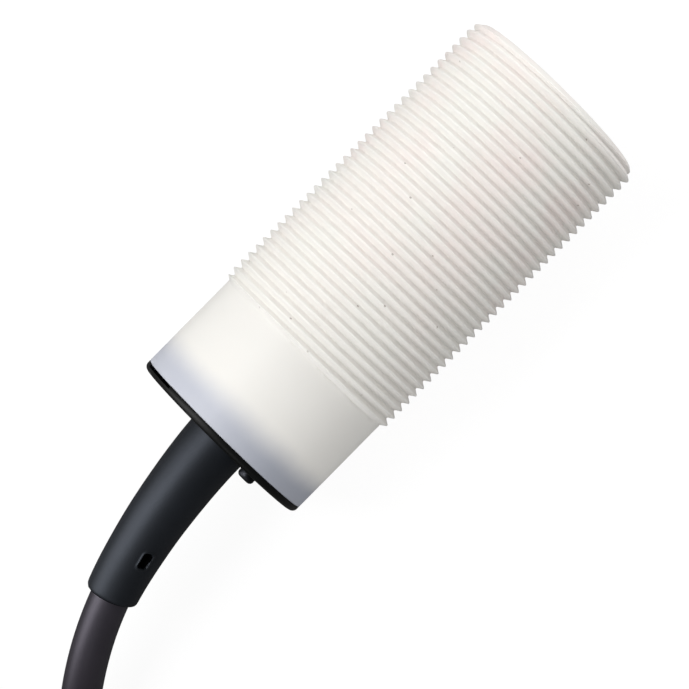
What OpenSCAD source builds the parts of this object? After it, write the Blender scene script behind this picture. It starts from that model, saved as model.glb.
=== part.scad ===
// Cylindrical capacitive proximity sensor, M32 x 1.5, plastic barrel, moulded cable with bare cores.
// The sensor lies on its side. +X runs along the barrel and out of the sensing face, +Z is up.
// The origin is the centre of the sensing face. The surface it lies on is one thread radius below.

/* [Barrel] */
// Outside diameter of the mounting thread
thread_d = 32; // [31:0.25:34]
// Pitch of the mounting thread
thread_pitch = 1.5; // [1.25:0.25:2]
// Radial depth of the thread, crest to root
thread_depth = 0.92; // [0.7:0.02:0.92]
// Length of the threaded stretch, from the sensing face
thread_len = 52; // [40:0.5:56]
// Length of the plain land between the sensing face and the first groove
lead_land = 1.9; // [1.5:0.1:3]
// Length of the slope from the last crest down to the shank
runout_len = 0.5; // [0.3:0.1:1.2]
// Radial size of the chamfer round the sensing face
chamfer_r = 1.3; // [0.5:0.1:1.5]
// Axial size of the chamfer round the sensing face
chamfer_len = 1.05; // [0.5:0.05:1.4]
// Radial step from the thread's crests down to the smooth shank behind it
shank_step = 0.9; // [0.7:0.05:1.2]
// Length of the barrel, from the sensing face to its open end
barrel_len = 68.4; // [66:0.2:76]
// Wall of the barrel round its bore, at the shank
barrel_wall = 1.5; // [1.2:0.1:1.8]
// Thickness of the closed sensing face
face_t = 1.6; // [1:0.1:2.5]

/* [Rear cap] */
// Thickness of the cap's flange
flange_t = 1.15; // [1:0.05:2]
// Radius of the flange's rear edge
flange_edge_r = 0.8; // [0.3:0.1:0.9]
// Length of the spigot that enters the barrel
spigot_len = 3.9; // [2:0.1:6]
// Wall of the spigot
spigot_wall = 1.1; // [0.8:0.1:1.4]
// Width of the pry slot in the flange
pry_w = 8; // [4:0.5:10]
// Depth of the pry slot into the flange, along the barrel
pry_t = 0.45; // [0.3:0.05:0.6]
// Depth of the pry slot below the flange's rim
pry_depth = 1.5; // [1:0.1:2.2]
// Angle of the pry slot round the barrel, from straight up
pry_angle = 60; // [0:5:90]

/* [Strain relief] */
// Diameter of the strain relief where it leaves the cap
relief_root_d = 10; // [9.5:0.1:12]
// Wall of the strain relief at its mouth
relief_mouth_wall = 0.9; // [0.8:0.05:1.4]
// Radius of the rounded lip at the mouth
relief_lip_r = 0.6; // [0.2:0.1:0.6]
// Diameter of the neck that passes the cap
relief_neck_d = 8.6; // [8:0.1:9]
// Diameter of the shoulder that holds the relief inside the cap
relief_shoulder_d = 12; // [10.5:0.5:13]
// Thickness of that shoulder
relief_shoulder_t = 1.5; // [1:0.1:2.5]
// Length of the locating hole in the relief's side, along the cable
locating_len = 2.3; // [1.5:0.1:3]
// Width of the locating hole
locating_w = 2; // [1.2:0.1:2.4]

/* [Cable] */
// Outside diameter of the cable
cable_d = 6; // [5.6:0.1:6.2]
// Turns of cable in each column of the coil
coil_turns = 5.25; // [4.25:0.25:5.75]
// Radius of the hole in the coil
coil_inner_r = 23.5; // [22:0.5:25]
// Diameter of a core with its insulation
core_d = 1.6; // [1.2:0.1:1.7]
// Diameter of a ferrule on a core's end
ferrule_d = 1.3; // [0.8:0.1:1.5]
// Length of a ferrule's metal tube
ferrule_len = 8; // [6:1:10]
// Wall of the clamp ring crimped on the cable behind the cap
clamp_wall = 0.7; // [0.4:0.1:1]
// Length of that ring
clamp_len = 3; // [2:0.5:5]

/* [Electrodes] */
// Gap between the bore and the guard ring
guard_edge = 1; // [0.5:0.1:2]
// Width of the guard ring's band
guard_w = 2.3; // [1.5:0.1:3]
// Gap between the guard ring and the sensing electrode
guard_gap = 1.8; // [1:0.1:3]
// Thickness of the electrodes
electrode_t = 0.3; // [0.2:0.1:0.6]
// Thickness of the round board that carries the electrodes
electrode_board_t = 1.6; // [1:0.2:2]
// Wall of the brass shield sleeve
shield_wall = 0.4; // [0.3:0.1:0.6]
// Length of the shield sleeve
shield_len = 31; // [20:1:40]
// Width of the shield sleeve's front lip
shield_lip = 1.2; // [0.8:0.1:2]
// Diameter of the pins between the two boards
link_pin_d = 0.8; // [0.5:0.1:1]
// Distance between those pins
link_pin_gap = 8; // [6:0.5:10]

/* [Main board] */
// Thickness of the main board
board_t = 1.6; // [1:0.1:1.6]
// Gap between the main board's long edges and the shield sleeve
board_edge_gap = 1.2; // [0.8:0.1:1.8]
// Gap between the round board and the main board
board_front_gap = 1.5; // [1:0.5:3]
// Gap between the main board and the relief's shoulder
board_rear_gap = 0.5; // [0.3:0.1:2]
// Gap between the cable's clamp ring and the main board above it
board_clear = 0.7; // [0.5:0.1:1]
// Length of the stretch that is cast in potting compound
potting_len = 33; // [20:1:38]

/* [Sensitivity adjuster] */
// Angle of the adjusting screw round the barrel, from straight up
adjuster_angle = 50; // [0:5:90]
// Diameter of the screw's head
head_d = 2.7; // [2.3:0.1:3.2]
// Height of the screw's head behind the cap
head_h = 1.3; // [0.9:0.1:1.6]
// Bevel round the end of the screw's head
head_bevel = 0.5; // [0.2:0.05:0.6]
// Diameter of the screw's shaft
shaft_d = 2; // [1.7:0.1:2.2]
// Width of the screwdriver slot
slot_w = 0.5; // [0.3:0.05:0.6]
// Depth of the screwdriver slot
slot_depth = 0.6; // [0.3:0.05:0.7]
// Length of the trimmer's case
trimmer_len = 19; // [18:0.5:22]
// Width of the trimmer's case
trimmer_w = 4.8; // [4.6:0.1:5.4]
// Height of the trimmer's case above the board
trimmer_h = 5; // [4.8:0.1:5.2]
// Wall of the trimmer's case
trimmer_wall = 0.5; // [0.4:0.05:0.6]
// Length of the wiper carriage
carriage_len = 3.5; // [2.5:0.1:4]

/* [Clearances] */
// Radial clearance of a glued or snapped seat
seat_gap = 0.05; // [0.02:0.01:0.1]
// Radial clearance of a turning or sliding fit
run_gap = 0.05; // [0.03:0.01:0.1]

/* [Hidden] */
$fn = 96;

// Colours as on the object
barrel_colour = "#efebe6";
cap_colour = "#1b1d1f";
relief_colour = "#3d4146";
cable_colour = "#4c4a52";
brown_colour = "#6b3f22";
blue_colour = "#2c5da8";
black_colour = "#1c1c1e";
board_colour = "#1f5c3a";
chip_colour = "#232326";
ceramic_colour = "#b08a5a";
metal_colour = "#c8c6c0";
brass_colour = "#c9a24e";
resin_colour = "#2b2d33";
lamp_colour = "#e8c24a";
clear_colour = "#e9e6d2";
trimmer_colour = "#2f5f9e";
alumina_colour = "#d8d4cc";
carriage_colour = "#d9d5c5";

// Number of sides of small round shapes
small_fn = 48;
tiny_fn = 32;
// Length by which a cut runs past the face it opens
past = 1;

// Thread form: a 60 degree profile with flats at crest and root
flank_run = thread_depth * tan(30);
crest_flat = thread_pitch / 8;
groove_w = thread_pitch - crest_flat;
grooves = floor((thread_len - lead_land - runout_len) / thread_pitch);

// Barrel: shank, bore, and the small chamfer round its open end
shank_d = thread_d - 2 * shank_step;
bore_d = shank_d - 2 * barrel_wall;
rear_edge = 0.15;
floor_z = -thread_d / 2;

// Electrodes, from the bore inwards
guard_outer_d = bore_d - 2 * guard_edge;
guard_inner_d = guard_outer_d - 2 * guard_w;
electrode_d = guard_inner_d - 2 * guard_gap;

// Depths behind the sensing face, front to rear
electrode_depth = face_t;
electrode_board_depth = electrode_depth + electrode_t;
shield_depth = electrode_board_depth + electrode_board_t;
board_depth = shield_depth + board_front_gap;
plate_depth = barrel_len;
plate_back = plate_depth + flange_t;
neck_front = plate_depth - relief_shoulder_t;
clamp_depth = neck_front - clamp_len;
board_end = neck_front - board_rear_gap;

// Cable entry: bore of the relief and of the clamp ring round the cable
entry_gap = 0.05;
entry_r = cable_d / 2 + entry_gap;
clamp_r = cable_d / 2 + clamp_wall;

// Stack above the clamp ring: the main board, and the trimmer with the adjusting screw on it
board_bottom = clamp_r + board_clear;
board_top = board_bottom + board_t;
screw_height = trimmer_h / 2;
adjuster_offset = board_top + screw_height;
board_w = 2 * sqrt(pow(bore_d / 2 - shield_wall, 2) - pow(board_top, 2)) - 2 * board_edge_gap;

// Trimmer, from its front to its rear
trimmer_rear_gap = 0.2;
trimmer_front_wall = 1;
trimmer_rear_wall = 2.7;
trimmer_back = plate_depth - trimmer_rear_gap;
trimmer_front = trimmer_back - trimmer_len;
trimmer_top = board_top + trimmer_h;
cavity_front = trimmer_front + trimmer_front_wall;
cavity_back = trimmer_back - trimmer_rear_wall;
cavity_w = trimmer_w - 2 * trimmer_wall;
notch_gap = 0.3;

// Screw inside the trimmer: pivot in the front wall, collar behind the carriage
pivot_d = shaft_d - 0.8;
pivot_depth = trimmer_front + 0.5;
collar_t = 0.5;
collar_gap = 0.05;
collar_d = shaft_d + 1;
collar_back = cavity_back - collar_gap;
collar_front = collar_back - collar_t;

// Resistive element, carriage and wiper
element_t = 0.6;
track_t = 0.05;
track_w = 0.8;
track_side = 0.9;
carriage_wall = 0.15;
carriage_lift = shaft_d / 2 + run_gap + carriage_wall;
carriage_mid = (cavity_front + collar_front) / 2;
wiper_t = 0.15;
wiper_w = 0.6;
wiper_gap = 0.03;

// Seal ring in the trimmer's rear wall
seal_cord_d = 0.8;
seal_depth = trimmer_back - 1.3;

// Trimmer's pins, the last of them in front of the clamp ring
trimmer_pin_d = 0.5;
trimmer_pin_inset = 1;
trimmer_pin_below = 0.6;
trimmer_pin_depths = [cavity_front + trimmer_pin_inset, carriage_mid, clamp_depth - trimmer_pin_inset];

// Lamp on the board's underside and the light guide behind it
guide_d = 2.4;
guide_rim_d = 3.4;
guide_rim_t = 0.8;
guide_drop = 1.8;
guide_inset = 2.55;
guide_side = guide_inset - board_w / 2;
guide_height = board_bottom - guide_drop;
led_w = 3;
led_len = 3;
led_block_len = 1.8;
led_below = 1.2;
lens_d = 1.8;
lens_gap = 0.2;
led_depth = board_end - led_len;
guide_front = led_depth + led_len;

// Solder holes of the cores, in front of the trimmer
core_hole_gap = 1.5;
core_hole_depth = trimmer_front - core_hole_gap;

// Places of the parts along the main board, drawn on a board with 42.7 mm from its front end to
// the solder holes and spaced out with the board
layout_len = 42.7;
function row(along) = board_depth + along * (core_hole_depth - board_depth) / layout_len;
supply_row = row(5);
input_row = row(7);
oscillator_depth = row(13);
capacitor_depth = row(15);
filter_row = row(19);
divider_row = row(22);
driver_row = row(24);
comparator_depth = row(25);
gate_row = row(27);
output_row = row(31);
transistor_depth = row(33);
regulator_depth = row(37);
diode_depth = row(41);

// Places of those parts across the main board
near_side = 5;
far_side = 6;

// A route given from the centre of the cap's rear face
function behind_cap(points) = [for (p = points) p - [plate_back, 0, 0]];

// Route of the cable, from its cut jacket end inside the housing to the foot of the coil
LEAD_ROUTE = behind_cap([
    [9.5, 0, 0], [4.5, 0, 0], [-0.5, -0.05, 0], [-5.5, -0.4, -0.1], [-10.5, -1, -0.3],
    [-15.5, -1.8, -0.8], [-20, -2.75, -1.4], [-24, -3.75, -2.1], [-27.2, -4.75, -2.8],
    [-30.5, -6, -3.7], [-34.5, -7.85, -5], [-37.5, -9.5, -6.1], [-40.5, -11.4, -7.2],
    [-44, -14, -8.5], [-47.5, -17, -9.8], [-51, -20.7, -11], [-54.5, -24.5, -12],
    [-58, -28.3, -12.6], [-61.6, -31.9, -12.9], [-65.1, -35.5, -13], [-68.6, -39.1, -13]
]);
relief_first = 2;
relief_hole = 6;
relief_last = 8;
jacket_end = -LEAD_ROUTE[0][0];

// Coil: two columns of turns side by side, wound up the outer one and down the inner one
coil_centre = behind_cap([[-92.5, -17, 0]])[0];
coil_outer_r = coil_inner_r + 2 * cable_d;
coil_h = (coil_turns + 1) * cable_d;

// Route of the cable's end, which runs out of the inner column along the floor of the coil's hole
TAIL_ROUTE = behind_cap([
    [-110.4, -3.9, -13], [-106.7, -0.5, -13], [-102.3, 1.9, -13],
    [-97.4, 3.3, -13], [-92.5, 3.6, -13], [-88, 3, -13]
]);

// Routes of the three cores, from the cut end of the jacket across the coil's hole
BROWN_ROUTE = behind_cap([
    [-87.7, 4, -13.3], [-83.6, 3.4, -14], [-79.6, 1.1, -14.8], [-77, -2.6, -15.2],
    [-76.1, -7, -15.2], [-76.9, -11.5, -15.2], [-78.7, -16, -15.2]
]);
BLACK_ROUTE = behind_cap([
    [-87.7, 3, -11.9], [-84.5, 2.1, -13.1], [-81.4, -0.5, -14.75], [-79.8, -4, -15.2],
    [-80.1, -9, -15.2], [-81.7, -13, -15.2], [-84.3, -16.5, -15.2]
]);
BLUE_ROUTE = behind_cap([
    [-87.7, 1.9, -13.9], [-85.6, 0.9, -14.6], [-83.8, -1.5, -15.2], [-83.3, -4.8, -15.2],
    [-84.5, -8.5, -15.2], [-87, -12, -15.2], [-90.1, -15, -15.2]
]);

// Cores inside the housing: side by side at the jacket's end, spread at their solder holes
core_pitch = core_d + 0.08;
core_hole_pitch = 3;
core_hole_floor = 0.4;

// Relief's tail: square to the cap's rear face, then along the cable to a rounded lip
relief_foot = 0.5;
relief_sides = 32;
relief_bore_sides = 24;
mouth_gap = 0.25;
mouth_len = 1;
relief_tip_d = 2 * (entry_r + relief_mouth_wall);
lip_r = min(relief_lip_r, relief_mouth_wall - mouth_gap - 0.05);
relief_path = concat(
    [[-plate_back, 0, 0], [-plate_back - relief_foot, 0, 0]],
    [for (i = [relief_first + 1 : relief_last - 1]) LEAD_ROUTE[i]],
    [for (t = [0.8, 0.92, 0.98, 1]) lerp(LEAD_ROUTE[relief_last - 1], LEAD_ROUTE[relief_last], t)]
);
relief_radii = concat(
    [relief_root_d / 2],
    [for (i = [relief_first : relief_last - 1]) relief_radius(i)],
    [for (drop = [0.05, 0.2, 0.55, 1]) relief_tip_d / 2 - lip_r * drop]
);

// Radius of the relief's outside at each point of the cable's route
function relief_radius(i) =
    lerp(relief_root_d, relief_tip_d, (i - relief_first) / (relief_last - relief_first)) / 2;

// Vector helpers
function unit(v) = v / norm(v);
function lerp(a, b, t) = a + (b - a) * t;

// Direction of a route at one of its points
function heading(route, i) =
    unit(route[min(i + 1, len(route) - 1)] - route[max(i - 1, 0)]);

// Sideways and upward directions of the section at a point of a route
function sideways(route, i) = unit(cross(heading(route, i), [0, 0, 1]));
function upwards(route, i) = cross(sideways(route, i), heading(route, i));

// One ring of points round a route
function ring(route, i, r, sides) = [
    for (k = [0 : sides - 1])
        route[i]
            + r * cos(360 * k / sides) * sideways(route, i)
            + r * sin(360 * k / sides) * upwards(route, i)
];

// Faces that join equal rings in order, with both ends closed
function tube_faces(rings, sides) = concat(
    [[for (k = [0 : sides - 1]) sides - 1 - k]],
    [
        for (i = [0 : rings - 2])
            for (k = [0 : sides - 1])
                let (a = i * sides + k, b = i * sides + (k + 1) % sides)
                    each [[a, b, b + sides], [a, b + sides, a + sides]]
    ],
    [[for (k = [0 : sides - 1]) (rings - 1) * sides + k]]
);

// Tube along a route, with one radius for each of its points
module tube(route, radii, sides) {
    points = [
        for (i = [0 : len(route) - 1])
            each ring(route, i, radii[i], sides)
    ];
    polyhedron(points, tube_faces(len(route), sides));
}

// Tube of one diameter along a route
module cord(route, d, sides) {
    tube(route, [for (p = route) d / 2], sides);
}

// Turned or extruded shapes are drawn upright and laid along the barrel: local Z is the depth
// behind the sensing face
module behind_face(depth = 0) {
    rotate([0, -90, 0])
        translate([0, 0, depth])
            children();
}

// Same, turned so that the main board is level: local X is the height above the axis
module board_frame(depth = 0) {
    rotate([adjuster_angle, 0, 0])
        behind_face(depth)
            children();
}

// Box in the board frame: height span, width, depth span, offset to the side
module block(low, high, width, front, back, side = 0) {
    translate([low, side - width / 2, front])
        cube([high - low, width, back - front]);
}

// Hole in the board frame along the barrel, on the adjusting screw's axis
module screw_hole(front, back, d) {
    translate([adjuster_offset, 0, front])
        cylinder(h = back - front, d = d, $fn = small_fn);
}

// Hole in the board frame across the main board
module board_hole(low, high, d, depth, side = 0) {
    translate([low, side, depth])
        rotate([0, 90, 0])
            cylinder(h = high - low, d = d, $fn = tiny_fn);
}

// One groove of the thread, radius against depth
function groove_points(start) = [
    [thread_d / 2, start],
    [thread_d / 2 - thread_depth, start + flank_run],
    [thread_d / 2 - thread_depth, start + groove_w - flank_run],
    [thread_d / 2, start + groove_w]
];

// Section of the barrel: closed face, chamfer, thread, run-out, shank, open rear end and bore
module barrel_profile() {
    polygon(concat(
        [[0, 0], [thread_d / 2 - chamfer_r, 0], [thread_d / 2, chamfer_len]],
        [
            for (i = [0 : grooves - 1])
                each groove_points(lead_land + i * thread_pitch)
        ],
        [
            [thread_d / 2, thread_len - runout_len],
            [shank_d / 2, thread_len],
            [shank_d / 2, barrel_len - rear_edge],
            [shank_d / 2 - rear_edge, barrel_len],
            [bore_d / 2, barrel_len],
            [bore_d / 2, face_t],
            [0, face_t]
        ]
    ));
}

module barrel() {
    color(barrel_colour)
        behind_face()
            rotate_extrude()
                barrel_profile();
}

// Quarter-round rear edge of the flange, as points of an arc
function edge_arc(r, out, back, steps) = [
    for (k = [0 : steps])
        [out - r + r * cos(90 * k / steps), back - r + r * sin(90 * k / steps)]
];

// Section of the cap: plate, flange that covers the barrel's end, and spigot with a lead-in
module cap_profile() {
    spigot_r = bore_d / 2 - seat_gap;
    spigot_front = plate_depth - spigot_len;
    lead_in = 0.3;
    edge_steps = 6;
    polygon(concat(
        [
            [0, plate_depth],
            [spigot_r - spigot_wall, plate_depth],
            [spigot_r - spigot_wall, spigot_front],
            [spigot_r - lead_in, spigot_front],
            [spigot_r, spigot_front + lead_in],
            [spigot_r, plate_depth],
            [shank_d / 2, plate_depth]
        ],
        edge_arc(flange_edge_r, shank_d / 2, plate_back, edge_steps),
        [[0, plate_back]]
    ));
}

// Slot under the flange's rim, where a blade lifts the cap off
module pry_slot() {
    rotate([-pry_angle, 0, 0])
        behind_face()
            translate([shank_d / 2 - pry_depth, -pry_w / 2, plate_depth - past])
                cube([2 * pry_depth, pry_w, past + pry_t]);
}

module rear_cap() {
    color(cap_colour)
        difference() {
            behind_face()
                rotate_extrude()
                    cap_profile();
            behind_face(plate_depth - past)
                cylinder(h = flange_t + 2 * past, d = relief_neck_d + 2 * seat_gap);
            board_frame() {
                screw_hole(plate_depth - past, plate_back + past, shaft_d + 2 * run_gap);
                translate([guide_height, guide_side, plate_depth - past])
                    cylinder(h = flange_t + 2 * past, d = guide_d + 2 * seat_gap, $fn = small_fn);
                block(
                    board_top - notch_gap, trimmer_top + notch_gap, trimmer_w + 2 * notch_gap,
                    plate_depth - spigot_len - past, plate_depth
                );
            }
            pry_slot();
        }
}

// Rectangle with round corners, made of exact arcs
module rounded_slot(length, width, corner) {
    square([length - 2 * corner, width], center = true);
    square([length, width - 2 * corner], center = true);
    for (x = [-1, 1])
        for (y = [-1, 1])
            translate([x * (length / 2 - corner), y * (width / 2 - corner)])
                circle(corner, $fn = 16);
}

// Locating hole of the mould, from one side of the relief to the other
module locating_hole() {
    lean = 23;
    turn = 14;
    corner = 0.5;
    translate(LEAD_ROUTE[relief_hole])
        rotate([lean, 0, turn])
            translate([0, 0, -relief_root_d])
                linear_extrude(2 * relief_root_d)
                    rounded_slot(locating_len, locating_w, corner);
}

// Widened mouth of the relief, which leaves a dark line round the cable
module mouth_cone() {
    tip = LEAD_ROUTE[relief_last];
    way = heading(LEAD_ROUTE, relief_last);
    slope = mouth_gap / mouth_len;
    tube(
        [tip - way * mouth_len, tip + way * past],
        [entry_r, entry_r + slope * (mouth_len + past)],
        relief_bore_sides
    );
}

// Relief moulded in one piece: shoulder inside the cap, neck through it, tapered tail along the cable
module strain_relief() {
    neck_end = plate_back + relief_foot / 2;
    shoulder_gap = 0.1;
    bore_route = [for (i = [1 : relief_last]) LEAD_ROUTE[i]];
    color(relief_colour)
        difference() {
            union() {
                behind_face(neck_front)
                    cylinder(h = relief_shoulder_t, d = relief_shoulder_d);
                behind_face(plate_depth)
                    cylinder(h = neck_end - plate_depth, d = relief_neck_d);
                tube(relief_path, relief_radii, relief_sides);
            }
            tube(
                bore_route,
                [for (p = bore_route) entry_r / cos(180 / relief_bore_sides)],
                relief_bore_sides
            );
            mouth_cone();
            locating_hole();
            board_frame()
                block(
                    board_top - shoulder_gap, trimmer_top, relief_shoulder_d,
                    neck_front - past, plate_depth
                );
        }
}

module cable_lead() {
    color(cable_colour)
        cord(LEAD_ROUTE, cable_d, 12);
}

module cable_coil() {
    color(cable_colour)
        translate(coil_centre + [0, 0, floor_z])
            rotate_extrude()
                translate([coil_inner_r, 0])
                    square([coil_outer_r - coil_inner_r, coil_h]);
}

module cable_tail() {
    color(cable_colour)
        cord(TAIL_ROUTE, cable_d, 12);
}

module tail_core_brown() {
    color(brown_colour)
        cord(BROWN_ROUTE, core_d, 8);
}

module tail_core_blue() {
    color(blue_colour)
        cord(BLUE_ROUTE, core_d, 8);
}

module tail_core_black() {
    color(black_colour)
        cord(BLACK_ROUTE, core_d, 8);
}

// Metal tube crimped on a core's stripped end, in line with its last stretch
module ferrule(route) {
    last = len(route) - 1;
    way = unit(route[last] - route[last - 1]);
    cord([route[last], route[last] + way * ferrule_len], ferrule_d, 12);
}

module wire_ferrules() {
    color(metal_colour)
        for (route = [BROWN_ROUTE, BLUE_ROUTE, BLACK_ROUTE])
            ferrule(route);
}

module sensing_electrode() {
    color(brass_colour)
        behind_face(electrode_depth)
            cylinder(h = electrode_t, d = electrode_d);
}

module guard_ring() {
    color(brass_colour)
        behind_face(electrode_depth)
            difference() {
                cylinder(h = electrode_t, d = guard_outer_d);
                translate([0, 0, -past])
                    cylinder(h = electrode_t + 2 * past, d = guard_inner_d);
            }
}

// Places of the two pins that join the boards, beside each other on the main board's top face
module at_link_pins() {
    for (side = [-1, 1])
        translate([board_top + link_pin_d / 2, side * link_pin_gap / 2, 0])
            children();
}

module electrode_board() {
    color(board_colour)
        difference() {
            behind_face(electrode_board_depth)
                cylinder(h = electrode_board_t, d = bore_d - 2 * seat_gap);
            board_frame(electrode_board_depth - past)
                at_link_pins()
                    cylinder(
                        h = electrode_board_t + 2 * past,
                        d = link_pin_d + 2 * seat_gap,
                        $fn = tiny_fn
                    );
        }
}

// Sleeve bent in at its front, where it is soldered to the round board
module shield_sleeve() {
    outer = bore_d / 2 - seat_gap;
    color(brass_colour)
        behind_face(shield_depth)
            rotate_extrude()
                polygon([
                    [outer - shield_lip, 0], [outer, 0], [outer, shield_len],
                    [outer - shield_wall, shield_len], [outer - shield_wall, shield_wall],
                    [outer - shield_lip, shield_wall]
                ]);
}

module link_pins() {
    pad_len = 3;
    color(metal_colour)
        board_frame(electrode_board_depth)
            at_link_pins()
                cylinder(
                    h = electrode_board_t + board_front_gap + pad_len,
                    d = link_pin_d,
                    $fn = tiny_fn
                );
}

// The board without its holes, which the potting also goes round
module board_blank() {
    board_frame()
        block(board_bottom, board_top, board_w, board_depth, board_end);
}

module main_board() {
    color(board_colour)
        difference() {
            board_blank();
            board_frame() {
                for (depth = trimmer_pin_depths)
                    board_hole(
                        board_bottom - past, board_top + past,
                        trimmer_pin_d + 2 * seat_gap, depth
                    );
                for (side = [-1, 0, 1])
                    board_hole(
                        board_bottom - past, board_top - core_hole_floor,
                        core_d + 2 * seat_gap, core_hole_depth, side * core_hole_pitch
                    );
            }
        }
}

// Chip in a flat moulded case with gull-wing leads on both sides, seated at height zero
module flat_chip(length, width, height, leads, pitch) {
    lead_w = 0.4;
    lead_t = 0.2;
    foot = 0.6;
    reach = 0.9;
    stand_off = 0.15;
    root = 0.1;
    toe = width / 2 + reach;
    translate([stand_off, -width / 2, -length / 2])
        cube([height - stand_off, width, length]);
    for (side = [-1, 1])
        for (i = [0 : leads - 1])
            translate([0, 0, (i - (leads - 1) / 2) * pitch - lead_w / 2])
                linear_extrude(lead_w)
                    polygon([
                        [0, side * toe],
                        [0, side * (toe - foot)],
                        [height / 2 - lead_t, side * (width / 2 - root)],
                        [height / 2 + lead_t, side * (width / 2 - root)],
                        [lead_t, side * (toe - foot + lead_t)],
                        [lead_t, side * toe]
                    ]);
}

// Places things on the main board's top face, or head down on its underside
module on_top(depth, side = 0) {
    board_frame()
        translate([board_top, side, depth])
            children();
}

module on_underside(depth, side = 0) {
    board_frame()
        translate([board_bottom, side, depth])
            mirror([1, 0, 0])
                children();
}

module oscillator_chip() {
    color(chip_colour)
        on_top(oscillator_depth)
            flat_chip(length = 5, width = 4, height = 1.6, leads = 4, pitch = 1.27);
}

module comparator_chip() {
    color(chip_colour)
        on_top(comparator_depth)
            flat_chip(length = 5, width = 4, height = 1.6, leads = 4, pitch = 1.27);
}

module voltage_regulator() {
    color(chip_colour)
        on_top(regulator_depth, -near_side)
            flat_chip(length = 4.5, width = 2.5, height = 1.5, leads = 3, pitch = 1.5);
}

module output_transistor() {
    color(chip_colour)
        on_underside(transistor_depth, near_side)
            flat_chip(length = 6.5, width = 3.5, height = 1.7, leads = 3, pitch = 2.3);
}

// Two-ended part: a moulded block with a metal strap under each end
module protection_diode() {
    case_len = 4.2;
    case_w = 2.6;
    case_h = 2.2;
    stand_off = 0.1;
    strap_w = 1.4;
    strap_len = 0.8;
    strap_at = 2.2;
    color(chip_colour)
        on_underside(diode_depth, -far_side)
            union() {
                translate([stand_off, -case_w / 2, -case_len / 2])
                    cube([case_h - stand_off, case_w, case_len]);
                for (end = [-1, 1])
                    translate([0, -strap_w / 2, end * strap_at - strap_len / 2])
                        cube([case_h / 2, strap_w, strap_len]);
            }
}

// Can capacitor: a square base, and a can pinched above its rubber plug
module filter_capacitor() {
    can_d = 6.3;
    can_h = 7.5;
    base_t = 0.8;
    base_w = 6.6;
    pinch_at = 2;
    pinch_w = 0.4;
    pinch_depth = 0.3;
    color(metal_colour)
        on_underside(capacitor_depth)
            union() {
                translate([0, -base_w / 2, -base_w / 2])
                    cube([base_t, base_w, base_w]);
                translate([base_t, 0, 0])
                    rotate([0, 90, 0])
                        rotate_extrude($fn = small_fn)
                            polygon([
                                [0, 0],
                                [can_d / 2, 0],
                                [can_d / 2, pinch_at - pinch_w],
                                [can_d / 2 - pinch_depth, pinch_at],
                                [can_d / 2, pinch_at + pinch_w],
                                [can_d / 2, can_h - pinch_depth],
                                [can_d / 2 - pinch_depth, can_h],
                                [0, can_h]
                            ]);
            }
}

// Small surface-mounted block, seated at height zero
module chip_part(length, width, height) {
    translate([0, -width / 2, -length / 2])
        cube([height, width, length]);
}

module ceramic_capacitors() {
    color(ceramic_colour) {
        for (depth = [input_row, filter_row, output_row])
            on_top(depth, far_side)
                chip_part(length = 2, width = 1.25, height = 0.9);
        for (depth = [supply_row, driver_row])
            on_underside(depth, -near_side)
                chip_part(length = 3.2, width = 1.6, height = 1.3);
    }
}

module chip_resistors() {
    color(chip_colour) {
        for (depth = [input_row, filter_row, divider_row, output_row])
            on_top(depth, -far_side)
                chip_part(length = 1.6, width = 0.8, height = 0.5);
        for (depth = [driver_row, gate_row])
            on_underside(depth, near_side)
                chip_part(length = 1.6, width = 0.8, height = 0.5);
        on_top(output_row)
            chip_part(length = 1.6, width = 0.8, height = 0.5);
        on_top(regulator_depth, near_side)
            chip_part(length = 2, width = 1.25, height = 0.6);
    }
}

// Side-facing lamp on the board's underside, behind the light guide
module status_led() {
    color(lamp_colour)
        board_frame()
            union() {
                block(
                    guide_height - led_below, board_bottom, led_w,
                    led_depth, led_depth + led_block_len, guide_side
                );
                translate([guide_height, guide_side, led_depth + led_block_len])
                    cylinder(h = led_len - led_block_len - lens_gap, d = lens_d, $fn = tiny_fn);
            }
}

// Clear pin from the lamp to the cap's rear face, with a rim inside the cap
module light_guide() {
    color(clear_colour)
        board_frame()
            translate([guide_height, guide_side, 0])
                union() {
                    translate([0, 0, guide_front])
                        cylinder(h = plate_back - guide_front, d = guide_d, $fn = small_fn);
                    translate([0, 0, plate_depth - guide_rim_t])
                        cylinder(h = guide_rim_t, d = guide_rim_d, $fn = small_fn);
                }
}

// Potting: the shield sleeve and the bore behind it filled round the boards and the parts on them
module potting_compound() {
    color(resin_colour)
        difference() {
            behind_face(shield_depth + shield_wall)
                cylinder(h = potting_len - shield_wall, d = bore_d - 2 * seat_gap - 2 * shield_wall);
            board_blank();
            link_pins();
            oscillator_chip();
            comparator_chip();
            voltage_regulator();
            output_transistor();
            protection_diode();
            filter_capacitor();
            ceramic_capacitors();
            chip_resistors();
        }
}

// Moulded case, open below: pivot hole in front, screw hole and seal groove in the rear wall
module trimmer_case() {
    pivot_floor = 0.4;
    color(trimmer_colour)
        board_frame()
            difference() {
                block(board_top, trimmer_top, trimmer_w, trimmer_front, trimmer_back);
                block(
                    board_top - past, trimmer_top - trimmer_wall, cavity_w,
                    cavity_front, cavity_back
                );
                screw_hole(trimmer_front + pivot_floor, cavity_front + past, pivot_d + 2 * run_gap);
                screw_hole(cavity_back - past, trimmer_back + past, shaft_d + 2 * run_gap);
                screw_hole(
                    seal_depth - seal_cord_d / 2, seal_depth + seal_cord_d / 2,
                    shaft_d + 2 * run_gap + 2 * seal_cord_d
                );
            }
}

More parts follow.
